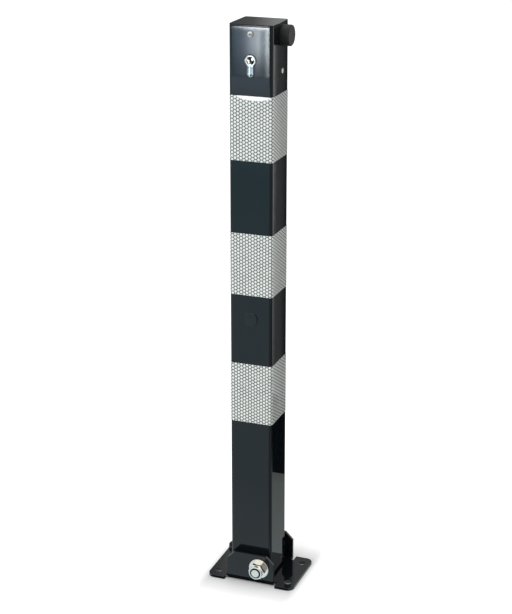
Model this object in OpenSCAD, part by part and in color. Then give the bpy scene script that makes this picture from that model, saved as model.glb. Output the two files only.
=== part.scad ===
// Fold-down parking post. A square steel tube stands in a folded floor bracket and swings on one
// cross bolt, to lie flat beside it. A half cylinder lock in the head drives a long rod down the
// tube into a keeper on the bracket.
// Millimetres. The origin is the centre of the four floor holes, on the bracket's underside.
// +Z is up, -Y is the lock face, and +X is the side that the post folds towards.

/* [Post] */
// Width of the square tube, side to side
post_w = 70; // [68:1:90]
// Depth of the square tube, front to back
post_d = 70; // [66:1:90]
// Wall of the square tube
post_wall = 3; // [2:0.5:4]
// Outside corner radius of the square tube
post_r = 5; // [4.5:0.5:8]
// Height from the ground to the top of the cap
total_h = 918; // [800:1:1100]
// How far the tube stands to the left of the centre of the floor holes
post_offset = 4; // [0:0.5:6]
// Gap under the tube's end, which stands on the bracket
foot_gap = 0.3; // [0.2:0.1:1]

/* [Floor bracket] */
// Thickness of the folded plate
plate_t = 5; // [4:0.5:6]
// Inside radius of the folds
bend_r = 3; // [2:0.5:5]
// Gap between the tube's face and the upright beside it
ear_gap = 10; // [8:0.5:14]
// How far the uprights reach past the tube's half width, from the bracket's centre
ear_margin = 5.5; // [4:0.5:10]
// Height of the uprights above the ground
ear_h = 52.5; // [50:0.5:70]
// Cut at the uprights' top corners
ear_chamfer = 13; // [4:0.5:16]
// Length of the feet past the uprights, left and right
foot_l = 34.5; // [30:0.5:60]
// How far the feet reach past the outer face of the uprights
foot_lip = 4.5; // [2:0.5:12]
// Corner radius of the feet
foot_r = 12; // [6:1:14]
// Width of the relief cuts beside the uprights
relief_w = 3.5; // [2:0.5:6]
// How far the relief cuts reach past the start of the fold
relief_reach = 2; // [1:0.5:4]
// Height of the rear wall at its left end
wall_end_h = 12; // [10:1:30]
// Slope of the rear wall's left end
wall_slope = 45; // [40:1:70]
// Floor hole
anchor_d = 12; // [9:0.5:14]
// Floor hole to the end of the foot
anchor_in_x = 14; // [12:0.5:20]
// Floor hole to the front or rear edge of the foot
anchor_in_y = 19.5; // [18:0.5:24]

/* [Pivot] */
// Pivot bolt, across its shank
bolt_d = 16; // [12:1:16]
// Play of the bolt in the uprights
bolt_play = 1; // [0.5:0.1:2]
// Radial clearance of the sleeve on the bolt
pivot_fit = 0.1; // [0.05:0.01:0.1]
// Height of the pivot above the ground
pivot_h = 30; // [28:1:31]
// Tube's right face to the pivot
pivot_side = 15; // [13:0.5:17]
// Hexagon of the bolt and nut, across the flats
hex_af = 24; // [21:1:26]
// Height of the bolt's head
head_h = 10; // [7:0.5:12]
// Height of the nut with its collar
nut_h = 16; // [13:0.5:18]
// Height of the nut's round collar
collar_h = 4.5; // [3:0.5:6]
// Outside diameter of the nut's round collar
collar_d = 22.5; // [20:0.5:24]
// How far the bolt's end stands out of the nut
bolt_tip = 2; // [1:0.5:6]
// Outside diameter of the washers
washer_d = 34; // [28:1:36]
// Thickness of the washers
washer_t = 3; // [2:0.5:4]
// Outside diameter of the sleeve welded through the tube
sleeve_d = 24; // [21:1:28]
// How far the sleeve stands out of the tube's faces
sleeve_out = 1; // [0.5:0.5:3]
// Outside diameter of the spacers between tube and uprights
spacer_d = 28; // [24:1:32]

/* [Reflective bands] */
// Height of one band
band_h = 100; // [50:5:120]
// Top of the cap to the top edge of the first band
band_drop = 107; // [100:1:140]
// Distance from one band to the next
band_pitch = 215; // [150:1:220]
// Thickness of the tape
tape_t = 0.4; // [0.2:0.1:1]
// Open seam of each band on the rear face
tape_seam = 0.8; // [0.4:0.1:3]

/* [Cap] */
// Thickness of the cap
cap_t = 3; // [2:0.5:5]
// Seam between the cap and the tube
cap_seam = 0.3; // [0.2:0.1:0.6]
// Width of the cap's inner tabs
tab_w = 24; // [16:1:32]
// Thickness of the cap's inner tabs
tab_t = 3; // [2:0.5:4]
// Top of the cap to its screw
cap_screw_drop = 14.5; // [10:0.5:16]
// Cap screw, across its thread
cap_screw_d = 5; // [4:0.5:6]
// Head of the cap screw
cap_head_d = 9.5; // [8:0.5:11]
// Height of the cap screw's head
cap_head_h = 2.8; // [2:0.2:3.6]
// Length of the cap screw under its head
cap_screw_l = 12; // [8:1:16]

/* [Lock cylinder] */
// Top of the cap to the middle of the plug
lock_drop = 53.5; // [45:0.5:60]
// Diameter of the cylinder's round part
cyl_d = 17; // [17:0.5:18]
// Width of the cylinder's flat part
web_w = 10; // [10:0.5:11]
// Overall height of the cylinder's profile
cyl_h = 33; // [33:0.5:35]
// Front of the cylinder to its fixing screw
cyl_front = 45; // [40:5:45]
// Fixing screw to the rear of the cylinder
cyl_back = 10; // [9:0.5:12]
// How far the cylinder stands out of the tube
cyl_proud = 1.5; // [0.5:0.5:4]
// Gap round the cylinder in the tube's cut-out
cut_gap = 0.7; // [0.3:0.1:1.5]
// Diameter of the plug
plug_d = 14; // [13:0.5:14]
// Diameter of the plug's front rim
rim_d = 15; // [14.5:0.1:15.4]
// Width of the slot that the cam turns in
cam_slot = 10; // [9:0.5:11]
// Radius from the plug to the middle of the cam's rounded tip
cam_reach = 12.2; // [11:0.1:12.4]
// Width of the cam's finger
finger_w = 6; // [5:0.5:6.5]
// Fixing screw, across its thread
fix_d = 5; // [4:0.5:5]
// Middle of the plug down to the fixing screw
fix_drop = 20.5; // [19:0.5:21]
// Width of the keyway
keyway_w = 2.2; // [1.6:0.1:2.6]
// Height of the keyway
keyway_h = 9.8; // [8:0.2:10.4]
// Length of the keyway
keyway_l = 33; // [28:1:34]
// Number of pin stacks
pin_count = 6; // [4:1:6]
// Distance between pin stacks
pin_pitch = 5; // [4:0.5:5.5]
// Front of the cylinder to the first pin stack
pin_first = 8; // [6:0.5:10]
// Diameter of the pins
pin_d = 3; // [2.5:0.1:3.2]
// Length of the lower pins
driver_l = 4.9; // [4:0.1:6]
// Thickness of the sheet that carries the cylinder inside the tube
carrier_t = 3; // [2:0.5:4]
// Height of that sheet
carrier_h = 46; // [42:1:48]

/* [Lock rod] */
// Diameter of the rod
rod_d = 14; // [12:0.5:14]
// Radial clearance of the rod in its guides and keeper
rod_play = 0.3; // [0.2:0.05:0.6]
// How far the cam turns up and down from level
cam_angle = 30; // [24:1:30]
// Keeper block, left to right
keeper_w = 20; // [18:0.5:24]
// Keeper block, front to back
keeper_d = 24; // [20:1:34]
// Keeper block, height over the plate
keeper_h = 14; // [10:0.5:15]
// Gap over the keeper when the rod is drawn
draw_gap = 1; // [0.5:0.1:3]
// Cut at the edge of the keeper's mouth and at the rod's end
lead_in = 1.5; // [0.5:0.1:2]
// Thickness of the follower, front to back
follower_d = 14; // [13:0.5:16]
// Solid stock above and below the follower's slot
follower_wall = 5; // [3:0.5:8]
// Diameter of the rod's turned upper end
spigot_d = 9; // [7:0.5:10]
// Length of the rod's turned upper end
spigot_l = 12; // [9:0.5:16]
// Diameter of the cross pins
cross_pin_d = 4; // [3:0.5:4]
// Sheet of the rod's guides
guide_t = 3; // [2:0.5:4]
// Depth of the rod's guides, front to back
guide_d = 50; // [44:1:56]
// Height of the guides' folded sides
guide_side = 16; // [10:1:25]
// Height of the lower guide above the ground
guide_low = 100; // [80:1:140]
// Top of the cap to the upper guide
guide_drop = 120; // [100:1:160]
// Wire of the spring
wire_d = 2; // [1.5:0.1:2.4]
// Mean diameter of the spring
spring_d = 17.5; // [17:0.5:18.5]
// Height of the spring with the rod drawn
spring_h = 60; // [50:1:80]
// Turns of the spring
spring_turns = 8; // [6:1:10]
// Diameter of the collar that stands on the spring
rod_collar_d = 20; // [19.5:0.5:24]
// Height of that collar
rod_collar_h = 8; // [7:0.5:12]

/* [Buffer and plug] */
// Diameter of the rubber buffer
buffer_d = 32; // [24:1:38]
// Rounding of the buffer's outer edge
buffer_r = 2; // [1:0.5:4]
// Top of the cap to the middle of the buffer
buffer_drop = 20; // [19:0.5:21]
// Front of the tube to the middle of the buffer
buffer_in = 43; // [30:1:46]
// Thread of the buffer's stud
stud_d = 8; // [6:1:8]
// Plate of the stud, moulded into the buffer
stud_plate_d = 20; // [14:1:22]
// Thickness of that plate
stud_plate_t = 2; // [1.5:0.5:3]
// How far the stud reaches into the tube
stud_l = 12; // [10:1:16]
// Hexagon of the stud's nut, across the flats
stud_af = 13; // [12:1:14]
// Height of the stud's nut
stud_nut_h = 6.5; // [5:0.5:8]
// Lower edge of the middle band to the middle of the blanking plug
blank_below = 39; // [20:1:90]
// Hole that the blanking plug closes
blank_hole = 19; // [14:0.5:24]
// How far the blanking plug's rim covers the face round its hole
blank_lap = 2.2; // [1:0.1:4]
// Height of the blanking plug's rim
blank_rim_h = 2; // [1:0.1:3]
// Depth of the blanking plug's legs inside the tube
blank_depth = 8; // [6:0.5:12]

/* [Hidden] */
$fn = 64;

// Clearance round a piece that is pressed, screwed or welded into its seat
snug = 0.05;
// Gap between pieces that slide past each other
slip = 0.3;
// Extra length of a cutter past the faces that it opens
past = 1;
// Extra width of the holes that screws and studs pass through
hole_play = 1;
// Width of the cross recess in the screws' heads
recess_w = 1;

// Faces of the tube
post_x = -post_offset;
face_l = post_x - post_w / 2;
face_r = post_x + post_w / 2;
face_f = -post_d / 2;
in_l = face_l + post_wall;
in_r = face_r - post_wall;
in_f = face_f + post_wall;
tube_z0 = plate_t + foot_gap;
tube_z1 = total_h - cap_t - cap_seam;

// Bracket
fold_r = bend_r + plate_t;
ear_in = post_d / 2 + ear_gap;
ear_out = ear_in + plate_t;
fold_y = ear_out - fold_r;
ear_x = post_w / 2 + ear_margin;
foot_x = ear_x + foot_l;
foot_y = ear_out + foot_lip;
anchor_x = foot_x - anchor_in_x;
anchor_y = foot_y - anchor_in_y;
wall_top_x = -foot_x + (ear_h - wall_end_h) / tan(wall_slope);

// Pivot, and the arc that the tube's lower right corner is trimmed to, so that it clears the plate
pivot_x = face_r - pivot_side;
trim_r = pivot_h - tube_z0;
nut_y = -ear_out - washer_t;
head_y = ear_out + washer_t;
nut_lip = 1;
nut_ring_d = bolt_d + 4;

// Lock cylinder
plug_z = total_h - lock_drop;
cyl_y0 = face_f - cyl_proud;
cam_y = cyl_y0 + cyl_front;
cyl_y1 = cam_y + cyl_back;
slot_y0 = cam_y - cam_slot / 2;
slot_y1 = cam_y + cam_slot / 2;
web_drop = cyl_h - cyl_d / 2 - web_w / 2;
rim_t = 1.2;
clip_t = 1;
clip_gap = 0.2;
end_wall = 1;
pin_wire = 0.4;
pin_turns = 6;
carrier_gap = 6.5;
carrier_edge = 4;
cam_y0 = slot_y0 + clip_t + 2 * clip_gap;
cam_y1 = slot_y1 - slip;
seat_d = plug_d - 2;
journal_d = plug_d - 4;
ring_r = cyl_d / 2 - slip;
tip_r = finger_w / 2;
cam_swing_r = cam_reach + tip_r;
carrier_y1 = slot_y0 - carrier_gap;
carrier_z0 = plug_z - web_drop - web_w / 2 - carrier_edge;
pin_floor = plug_z - web_drop;

// Rod. It runs midway between the tube's left wall and the arc of the trimmed corner.
rod_y = cam_y;
rod_x = (in_l + pivot_x - trim_r) / 2;
tip_rise = cam_reach * sin(cam_angle);
travel = 2 * tip_rise;
keeper_z1 = plate_t + keeper_h;
rod_z0 = keeper_z1 + draw_gap;
slot_z = plug_z + tip_rise;
slot_half = tip_r + slip;
follower_edge = 2.5;
follower_gap = 0.4;
follower_x0 = rod_x - spigot_d / 2 - follower_edge;
follower_x1 = post_x - ring_r - follower_gap;
flare_x = post_x - cam_reach * cos(cam_angle) - tip_r * sin(cam_angle);
flare_half = slot_half + (follower_x1 - flare_x) * tan(cam_angle);
follower_z0 = slot_z - flare_half - follower_wall - spigot_l;
follower_z1 = slot_z + flare_half + follower_wall;
guide_low_top = guide_low + guide_t;
collar_z0 = guide_low_top + spring_h;

// Buffer. It is as thick as the tube lies above the ground when folded.
buffer_t = pivot_h - pivot_side;
buffer_y = face_f + buffer_in;
buffer_z = total_h - buffer_drop;
blank_z = total_h - band_drop - band_pitch - band_h - blank_below;

// A flat shape in X and Z, given depth from y0 to y1
module along_y(y0, y1) {
    translate([0, y1, 0]) rotate([90, 0, 0]) linear_extrude(y1 - y0) children();
}

// A flat shape in Y and Z, given length from x0 to x1
module along_x(x0, x1) {
    translate([x0, 0, 0]) rotate([90, 0, 90]) linear_extrude(x1 - x0) children();
}

// A round bar along Y
module bar_y(x, z, y0, y1, d) {
    translate([x, y1, z]) rotate([90, 0, 0]) cylinder(d = d, h = y1 - y0);
}

// A round bar along X
module bar_x(y, z, x0, x1, d) {
    translate([x0, y, z]) rotate([0, 90, 0]) cylinder(d = d, h = x1 - x0);
}

// A rectangle with round corners, centred
module round_rect(w, d, r) {
    square([w - 2 * r, d], center = true);
    square([w, d - 2 * r], center = true);
    for (x = [-1, 1], y = [-1, 1])
        translate([x * (w / 2 - r), y * (d / 2 - r)]) circle(r);
}

// The tube's outer outline, grown by g
module post_outline(g = 0) {
    translate([post_x, 0]) round_rect(post_w + 2 * g, post_d + 2 * g, post_r + g);
}

// A hexagonal bar about Z with its corners turned off at both ends
module hex_bar(af, h) {
    turn = 0.08 * af;
    intersection() {
        cylinder(d = af / cos(30), h = h, $fn = 6);
        rotate_extrude() polygon([
            [0, 0], [af / 2, 0], [af / 2 + turn, turn / 2],
            [af / 2 + turn, h - turn / 2], [af / 2, h], [0, h]
        ]);
    }
}

// The fold and upright of the bracket, as a section in Y and Z on the rear side
module upright_section() {
    translate([fold_y, fold_r]) intersection() {
        difference() {
            circle(fold_r);
            circle(bend_r);
        }
        translate([0, -fold_r]) square(fold_r);
    }
    translate([ear_in, fold_r]) square([plate_t, ear_h - fold_r]);
}

// The front upright's outline, with both top corners cut
module ear_outline() {
    polygon([
        [-ear_x, 0], [ear_x, 0], [ear_x, ear_h - ear_chamfer], [ear_x - ear_chamfer, ear_h],
        [ear_chamfer - ear_x, ear_h], [-ear_x, ear_h - ear_chamfer]
    ]);
}

// The rear wall's outline. It runs on to the left end of the plate and slopes down there.
module wall_outline() {
    polygon([
        [-foot_x, 0], [ear_x, 0], [ear_x, ear_h - ear_chamfer], [ear_x - ear_chamfer, ear_h],
        [wall_top_x, ear_h], [-foot_x, wall_end_h]
    ]);
}

// One relief cut at the rear right, reaching in from the plate's edge past the start of the fold
module relief() {
    translate([ear_x, fold_y - relief_reach + relief_w / 2]) square([relief_w, foot_y]);
    translate([ear_x + relief_w / 2, fold_y - relief_reach + relief_w / 2]) circle(relief_w / 2);
}

// The flat of the plate, up to where its folds start
module plate_flat() {
    difference() {
        union() {
            round_rect(2 * foot_x, 2 * foot_y, foot_r);
            translate([-foot_x, 0]) square([foot_x, foot_y]);
        }
        translate([-ear_x, -2 * foot_y]) square([2 * ear_x, 2 * foot_y - fold_y]);
        translate([-foot_x - past, fold_y]) square([foot_x + past + ear_x, foot_y]);
        relief();
        mirror([0, 1]) relief();
        rotate(180) relief();
        for (x = [-1, 1], y = [-1, 1])
            translate([x * anchor_x, y * anchor_y]) circle(d = anchor_d);
    }
}

module base_bracket() {
    color("#3a4045") difference() {
        union() {
            linear_extrude(plate_t) plate_flat();
            intersection() {
                along_x(-foot_x, ear_x) upright_section();
                along_y(0, foot_y) wall_outline();
            }
            intersection() {
                mirror([0, 1, 0]) along_x(-ear_x, ear_x) upright_section();
                along_y(-foot_y, 0) ear_outline();
            }
        }
        bar_y(pivot_x, pivot_h, -foot_y, foot_y, bolt_d + bolt_play);
    }
}

// A block welded to the plate, with a bore that takes the rod's lower end
module keeper_block() {
    bore = rod_d + 2 * rod_play;
    corner_r = 2;
    color("#4a4f54") translate([rod_x, rod_y, plate_t]) difference() {
        linear_extrude(keeper_h) round_rect(keeper_w, keeper_d, corner_r);
        translate([0, 0, -past]) cylinder(d = bore, h = keeper_h + 2 * past);
        translate([0, 0, keeper_h - lead_in])
            cylinder(d1 = bore, d2 = bore + 2 * lead_in + 2 * past, h = lead_in + past);
    }
}

module pivot_bolt() {
    end_y = nut_y - nut_h - bolt_tip;
    color("#b9bdc1") {
        translate([pivot_x, head_y + head_h, pivot_h]) rotate([90, 0, 0]) hex_bar(hex_af, head_h);
        bar_y(pivot_x, pivot_h, end_y + lead_in, head_y + past, bolt_d);
        translate([pivot_x, end_y + lead_in, pivot_h]) rotate([90, 0, 0])
            cylinder(d1 = bolt_d, d2 = bolt_d - 2 * lead_in, h = lead_in);
    }
}

// A lock nut: hexagon below, round collar above with a turned-in lip over its plastic ring
module pivot_nut() {
    color("#c0c4c8") translate([pivot_x, nut_y, pivot_h]) rotate([90, 0, 0]) difference() {
        union() {
            hex_bar(hex_af, nut_h - collar_h);
            rotate_extrude() polygon([
                [0, nut_h - collar_h - past], [collar_d / 2, nut_h - collar_h - past],
                [collar_d / 2, nut_h - nut_lip], [collar_d / 2 - nut_lip, nut_h], [0, nut_h]
            ]);
        }
        translate([0, 0, -past]) cylinder(d = bolt_d + 2 * snug, h = nut_h + 2 * past);
        translate([0, 0, nut_h - collar_h]) cylinder(d = nut_ring_d, h = collar_h - nut_lip);
        translate([0, 0, nut_h - nut_lip - past])
            cylinder(d = nut_ring_d - 2 * nut_lip, h = nut_lip + 2 * past);
    }
}

module nut_insert() {
    color("#22262a") translate([pivot_x, nut_y - nut_h + collar_h, pivot_h]) rotate([90, 0, 0])
        difference() {
            cylinder(d = nut_ring_d - 2 * snug, h = collar_h - nut_lip - snug);
            translate([0, 0, -past]) cylinder(d = bolt_d + 2 * snug, h = collar_h + 2 * past);
        }
}

// A flat ring on the pivot bolt, from y0 to y1
module bolt_ring(y0, y1, d, bore) {
    difference() {
        bar_y(pivot_x, pivot_h, y0, y1, d);
        bar_y(pivot_x, pivot_h, y0 - past, y1 + past, bore);
    }
}

module washer_front() {
    color("#c4c8cb") bolt_ring(-ear_out - washer_t, -ear_out, washer_d, bolt_d + bolt_play);
}

module washer_rear() {
    color("#c4c8cb") bolt_ring(ear_out, ear_out + washer_t, washer_d, bolt_d + bolt_play);
}

module spacer_front() {
    color("#a9adb1")
        bolt_ring(-ear_in, face_f - sleeve_out - slip, spacer_d, bolt_d + 2 * pivot_fit);
}

module spacer_rear() {
    color("#a9adb1")
        bolt_ring(-face_f + sleeve_out + slip, ear_in, spacer_d, bolt_d + 2 * pivot_fit);
}

// The half cylinder's outline: round above, flat-sided web below, grown by g
module cylinder_profile(g = 0) {
    translate([post_x, plug_z]) {
        circle(d = cyl_d + 2 * g);
        translate([-web_w / 2 - g, -web_drop]) square([web_w + 2 * g, web_drop]);
        translate([0, -web_drop]) circle(d = web_w + 2 * g);
    }
}

// Everything outside the trimming arc, below and to the right of the pivot
module corner_trim() {
    along_y(face_f - past, -face_f + past) difference() {
        translate([pivot_x, tube_z0 - past]) square([pivot_side + past, trim_r + past]);
        translate([pivot_x, pivot_h]) circle(trim_r);
    }
}

module post_tube() {
    color("#33393e") difference() {
        translate([0, 0, tube_z0]) linear_extrude(tube_z1 - tube_z0) difference() {
            post_outline();
            post_outline(-post_wall);
        }
        corner_trim();
        bar_y(pivot_x, pivot_h, face_f - past, -face_f + past, sleeve_d + 2 * snug);
        along_y(face_f - past, in_f + past) cylinder_profile(cut_gap);
        bar_y(post_x, total_h - cap_screw_drop, face_f - past, in_f + past, cap_screw_d + hole_play);
        bar_y(post_x, blank_z, face_f - past, in_f + past, blank_hole);
        bar_x(buffer_y, buffer_z, in_r - past, face_r + past, stud_d + hole_play);
        bar_x(cam_y, plug_z - fix_drop, in_r - past, face_r + past, fix_d + hole_play);
        translate([face_r - fix_d / 2, cam_y, plug_z - fix_drop]) rotate([0, 90, 0])
            cylinder(d1 = fix_d + 2 * snug, d2 = 2 * (fix_d + snug + past), h = fix_d / 2 + past);
    }
}

module pivot_sleeve() {
    color("#a4a8ac") bolt_ring(face_f - sleeve_out, -face_f + sleeve_out, sleeve_d,
        bolt_d + 2 * pivot_fit);
}

// One band of tape wrapped round the tube, with its open seam down the rear face
module tape_band(i) {
    color("#d6d9d8") translate([0, 0, total_h - band_drop - i * band_pitch - band_h])
        linear_extrude(band_h) difference() {
            post_outline(tape_t + snug);
            post_outline(snug);
            translate([post_x - tape_seam / 2, 0]) square([tape_seam, post_d]);
        }
}

module tape_band_upper() {
    tape_band(0);
}

module tape_band_middle() {
    tape_band(1);
}

module tape_band_lower() {
    tape_band(2);
}

// A plate flush with the tube. A long tab inside the front wall takes the screw, and a short one
// behind locates the rear edge.
module top_cap() {
    front_tab = cap_screw_drop + 1.5 * cap_screw_d;
    rear_tab = cap_t + 2 * tab_t;
    color("#3d4448") difference() {
        union() {
            translate([0, 0, total_h - cap_t]) linear_extrude(cap_t) post_outline();
            translate([post_x - tab_w / 2, in_f + slip, total_h - front_tab])
                cube([tab_w, tab_t, front_tab - cap_t / 2]);
            translate([post_x - tab_w / 2, -in_f - slip - tab_t, total_h - rear_tab])
                cube([tab_w, tab_t, rear_tab - cap_t / 2]);
        }
        bar_y(post_x, total_h - cap_screw_drop, in_f, in_f + tab_t + past, cap_screw_d + 2 * snug);
    }
}

// A round-headed screw with a cross recess
module cap_screw() {
    z = total_h - cap_screw_drop;
    rim = 1;
    dome = cap_head_h - rim;
    color("#d0d3d6") difference() {
        union() {
            bar_y(post_x, z, face_f - past, face_f + cap_screw_l, cap_screw_d);
            translate([post_x, face_f, z]) rotate([90, 0, 0]) rotate_extrude() difference() {
                union() {
                    square([cap_head_d / 2, rim]);
                    square([cap_head_d / 2 - dome, cap_head_h]);
                    translate([cap_head_d / 2 - dome, rim]) circle(dome);
                }
                translate([-cap_head_d, -past]) square([cap_head_d, cap_head_h + 2 * past]);
                translate([0, -cap_head_h]) square([cap_head_d, cap_head_h]);
            }
        }
        for (turn = [0, 90])
            translate([post_x, face_f - cap_head_h, z]) rotate([0, turn, 0])
                cube([cap_head_d / 2, cap_head_h, recess_w], center = true);
    }
}

// A folded sheet across the tube that holds the cylinder, with its sides against the tube's walls
module lock_carrier() {
    carrier_y0 = carrier_y1 - carrier_t;
    side_y1 = cam_y + 2 * fix_d;
    x0 = in_l + snug;
    x1 = in_r - snug;
    color("#8d9297") difference() {
        translate([0, 0, carrier_z0]) linear_extrude(carrier_h) {
            translate([x0, carrier_y0]) square([x1 - x0, carrier_t]);
            translate([x0, carrier_y0]) square([carrier_t, side_y1 - carrier_y0]);
            translate([x1 - carrier_t, carrier_y0]) square([carrier_t, side_y1 - carrier_y0]);
        }
        along_y(carrier_y0 - past, carrier_y1 + past) cylinder_profile(0.2);
        bar_x(cam_y, plug_z - fix_drop, x1 - carrier_t - past, x1 + past, fix_d + hole_play);
    }
}

// Middle of pin stack i, along Y
function pin_y(i) = cyl_y0 + pin_first + i * pin_pitch;

module cylinder_body() {
    color("#c9cccf") difference() {
        along_y(cyl_y0, cyl_y1) cylinder_profile();
        bar_y(post_x, plug_z, cyl_y0 - past, slot_y0 + past, plug_d + 2 * snug);
        bar_y(post_x, plug_z, cyl_y0 - past, cyl_y0 + rim_t + slip, rim_d + 2 * snug);
        bar_y(post_x, plug_z, slot_y1 - past, cyl_y1 - end_wall, journal_d + 2 * snug);
        translate([post_x - cyl_d, slot_y0, plug_z - cam_swing_r - slip])
            cube([2 * cyl_d, cam_slot, cam_swing_r + cyl_d]);
        bar_x(cam_y, plug_z - fix_drop, post_x - web_w, post_x + web_w, fix_d + 2 * snug);
        for (i = [0:pin_count - 1])
            translate([post_x, pin_y(i), pin_floor])
                cylinder(d = pin_d + 2 * snug, h = web_drop - plug_d / 2 + past);
    }
}

// A countersunk screw from the right face into the cylinder's web
module cylinder_screw() {
    z = plug_z - fix_drop;
    end_x = post_x - web_w / 2 + fix_d / 4;
    color("#d0d3d6") difference() {
        union() {
            bar_x(cam_y, z, end_x, face_r - fix_d / 4, fix_d);
            translate([face_r - fix_d / 2, cam_y, z]) rotate([0, 90, 0])
                cylinder(d1 = fix_d, d2 = 2 * fix_d, h = fix_d / 2);
        }
        for (turn = [0, 90])
            translate([face_r, cam_y, z]) rotate([turn, 0, 0])
                cube([fix_d / 2, fix_d, recess_w], center = true);
    }
}

module driver_pins() {
    top = plug_z - plug_d / 2 - 2 * snug;
    color("#c8a24a") for (i = [0:pin_count - 1])
        translate([post_x, pin_y(i), top - driver_l]) cylinder(d = pin_d, h = driver_l, $fn = 24);
}

// Wire of diameter wire bent to a coil about Z, its middle line on a cylinder of diameter d, from
// z0 to z1. The first and last turns lie nearly closed. The wire has as many sides as given.
module coil(d, wire, z0, z1, turns, steps, sides) {
    count = turns * steps;
    closed = 1.1 * wire;
    open = (z1 - z0 - wire - 2 * closed) / (turns - 2);
    function rise(t) = t < 1 ? t * closed
        : t > turns - 1 ? closed + (turns - 2) * open + (t - turns + 1) * closed
        : closed + (t - 1) * open;
    points = [for (i = [0:count], j = [0:sides - 1])
        let (turn = 360 * i / steps, side = 360 * j / sides)
        let (r = d / 2 + wire / 2 * cos(side))
        [r * cos(turn), r * sin(turn), z0 + wire / 2 + rise(i / steps) + wire / 2 * sin(side)]];
    skin = [for (i = [0:count - 1], j = [0:sides - 1], half = [0, 1])
        let (a = i * sides + j, b = i * sides + (j + 1) % sides)
        half == 0 ? [a, b, b + sides] : [a, b + sides, a + sides]];
    ends = [[for (j = [sides - 1:-1:0]) j], [for (j = [0:sides - 1]) count * sides + j]];
    polyhedron(points, concat(skin, ends));
}

module pin_springs() {
    z1 = plug_z - plug_d / 2 - 4 * snug - driver_l;
    color("#b08d3c") for (i = [0:pin_count - 1])
        translate([post_x, pin_y(i), 0]) coil(pin_d - 2 * pin_wire, pin_wire, pin_floor + snug, z1,
            pin_turns, 8, 5);
}

// A moulded rubber disc with a recess in its back for the stud's plate
module buffer() {
    color("#2b2a28") translate([face_r, buffer_y, buffer_z]) rotate([0, 90, 0]) difference() {
        rotate_extrude() difference() {
            union() {
                square([buffer_d / 2, buffer_t - buffer_r]);
                square([buffer_d / 2 - buffer_r, buffer_t]);
                translate([buffer_d / 2 - buffer_r, buffer_t - buffer_r]) circle(buffer_r);
            }
            translate([-buffer_d, -past]) square([buffer_d, buffer_t + 2 * past]);
        }
        translate([0, 0, -past])
            cylinder(d = stud_plate_d + 2 * snug, h = stud_plate_t + snug + past);
    }
}

module buffer_stud() {
    color("#b9bdc1") {
        bar_x(buffer_y, buffer_z, face_r, face_r + stud_plate_t, stud_plate_d);
        bar_x(buffer_y, buffer_z, in_r - stud_l, face_r + past, stud_d);
    }
}

module buffer_nut() {
    color("#b9bdc1") translate([in_r - stud_nut_h, buffer_y, buffer_z]) rotate([0, 90, 0])
        difference() {
            hex_bar(stud_af, stud_nut_h);
            translate([0, 0, -past]) cylinder(d = stud_d + 2 * snug, h = stud_nut_h + 2 * past);
        }
}

// A snap-in plastic plug: low domed rim outside, split barrel with a snap ring inside
module blanking_plug() {
    rim_r = blank_hole / 2 + blank_lap;
    barrel_r = blank_hole / 2 - snug;
    wall = 1.4;
    snap = 0.4;
    slit_w = 2;
    behind = post_wall + snug;
    color("#1d2023") translate([post_x, face_f, blank_z]) rotate([-90, 0, 0]) difference() {
        rotate_extrude() polygon([
            [0, -blank_rim_h], [rim_r - 2 * wall, -blank_rim_h], [rim_r - wall, -0.9 * blank_rim_h],
            [rim_r - wall / 2, -0.7 * blank_rim_h],
            [rim_r, -0.3 * blank_rim_h], [rim_r, 0], [barrel_r, 0], [barrel_r, behind],
            [barrel_r + snap, behind + snap], [barrel_r - wall / 2, behind + blank_depth],
            [barrel_r - wall, behind + blank_depth], [barrel_r - wall, 0], [0, 0]
        ]);
        for (turn = [0, 90])
            rotate(turn) translate([-blank_hole, -slit_w / 2, slit_w / 2])
                cube([2 * blank_hole, slit_w, 2 * blank_depth]);
    }
}

// A folded sheet across the tube with the rod's hole, its web's underside at height z
module rod_guide(z) {
    x0 = in_l + snug;
    x1 = in_r - snug;
    fold_in = 1;
    out_r = guide_t + fold_in;
    color("#8d9297") difference() {
        along_y(-guide_d / 2, guide_d / 2) difference() {
            union() {
                translate([x0 + out_r, z]) square([x1 - x0 - 2 * out_r, guide_t]);
                for (x = [x0 + out_r, x1 - out_r])
                    translate([x, z + guide_t - out_r]) circle(out_r);
                for (x = [x0, x1 - guide_t])
                    translate([x, z - guide_side]) square([guide_t, guide_side + guide_t - out_r]);
            }
            for (x = [x0 + out_r, x1 - out_r])
                translate([x, z + guide_t - out_r]) circle(fold_in);
            translate([x0 + guide_t, z - 2 * out_r])
                square([x1 - x0 - 2 * guide_t, out_r + guide_t]);
            translate([x0 + out_r, z - 2 * out_r])
                square([x1 - x0 - 2 * out_r, 2 * out_r]);
        }
        translate([rod_x, rod_y, z - past])
            cylinder(d = rod_d + 2 * rod_play, h = guide_t + 2 * past);
    }
}

module guide_upper() {
    rod_guide(total_h - guide_drop);
}

module guide_lower() {
    rod_guide(guide_low);
}

// The keyway's outline about the plug's middle: a slot with a ward on each side. Its heights are
// shares of its half height.
module keyway() {
    w = keyway_w / 2;
    h = keyway_h / 2;
    ward = 0.9;
    polygon([
        [-w, -h], [w, -h], [w, -0.45 * h], [w + ward, -0.3 * h], [w + ward, 0.1 * h], [w, 0.28 * h],
        [w, h], [-w, h], [-w, 0.2 * h], [-w + ward, 0.05 * h], [-w + ward, -0.3 * h], [-w, -0.45 * h]
    ]);
}

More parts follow.
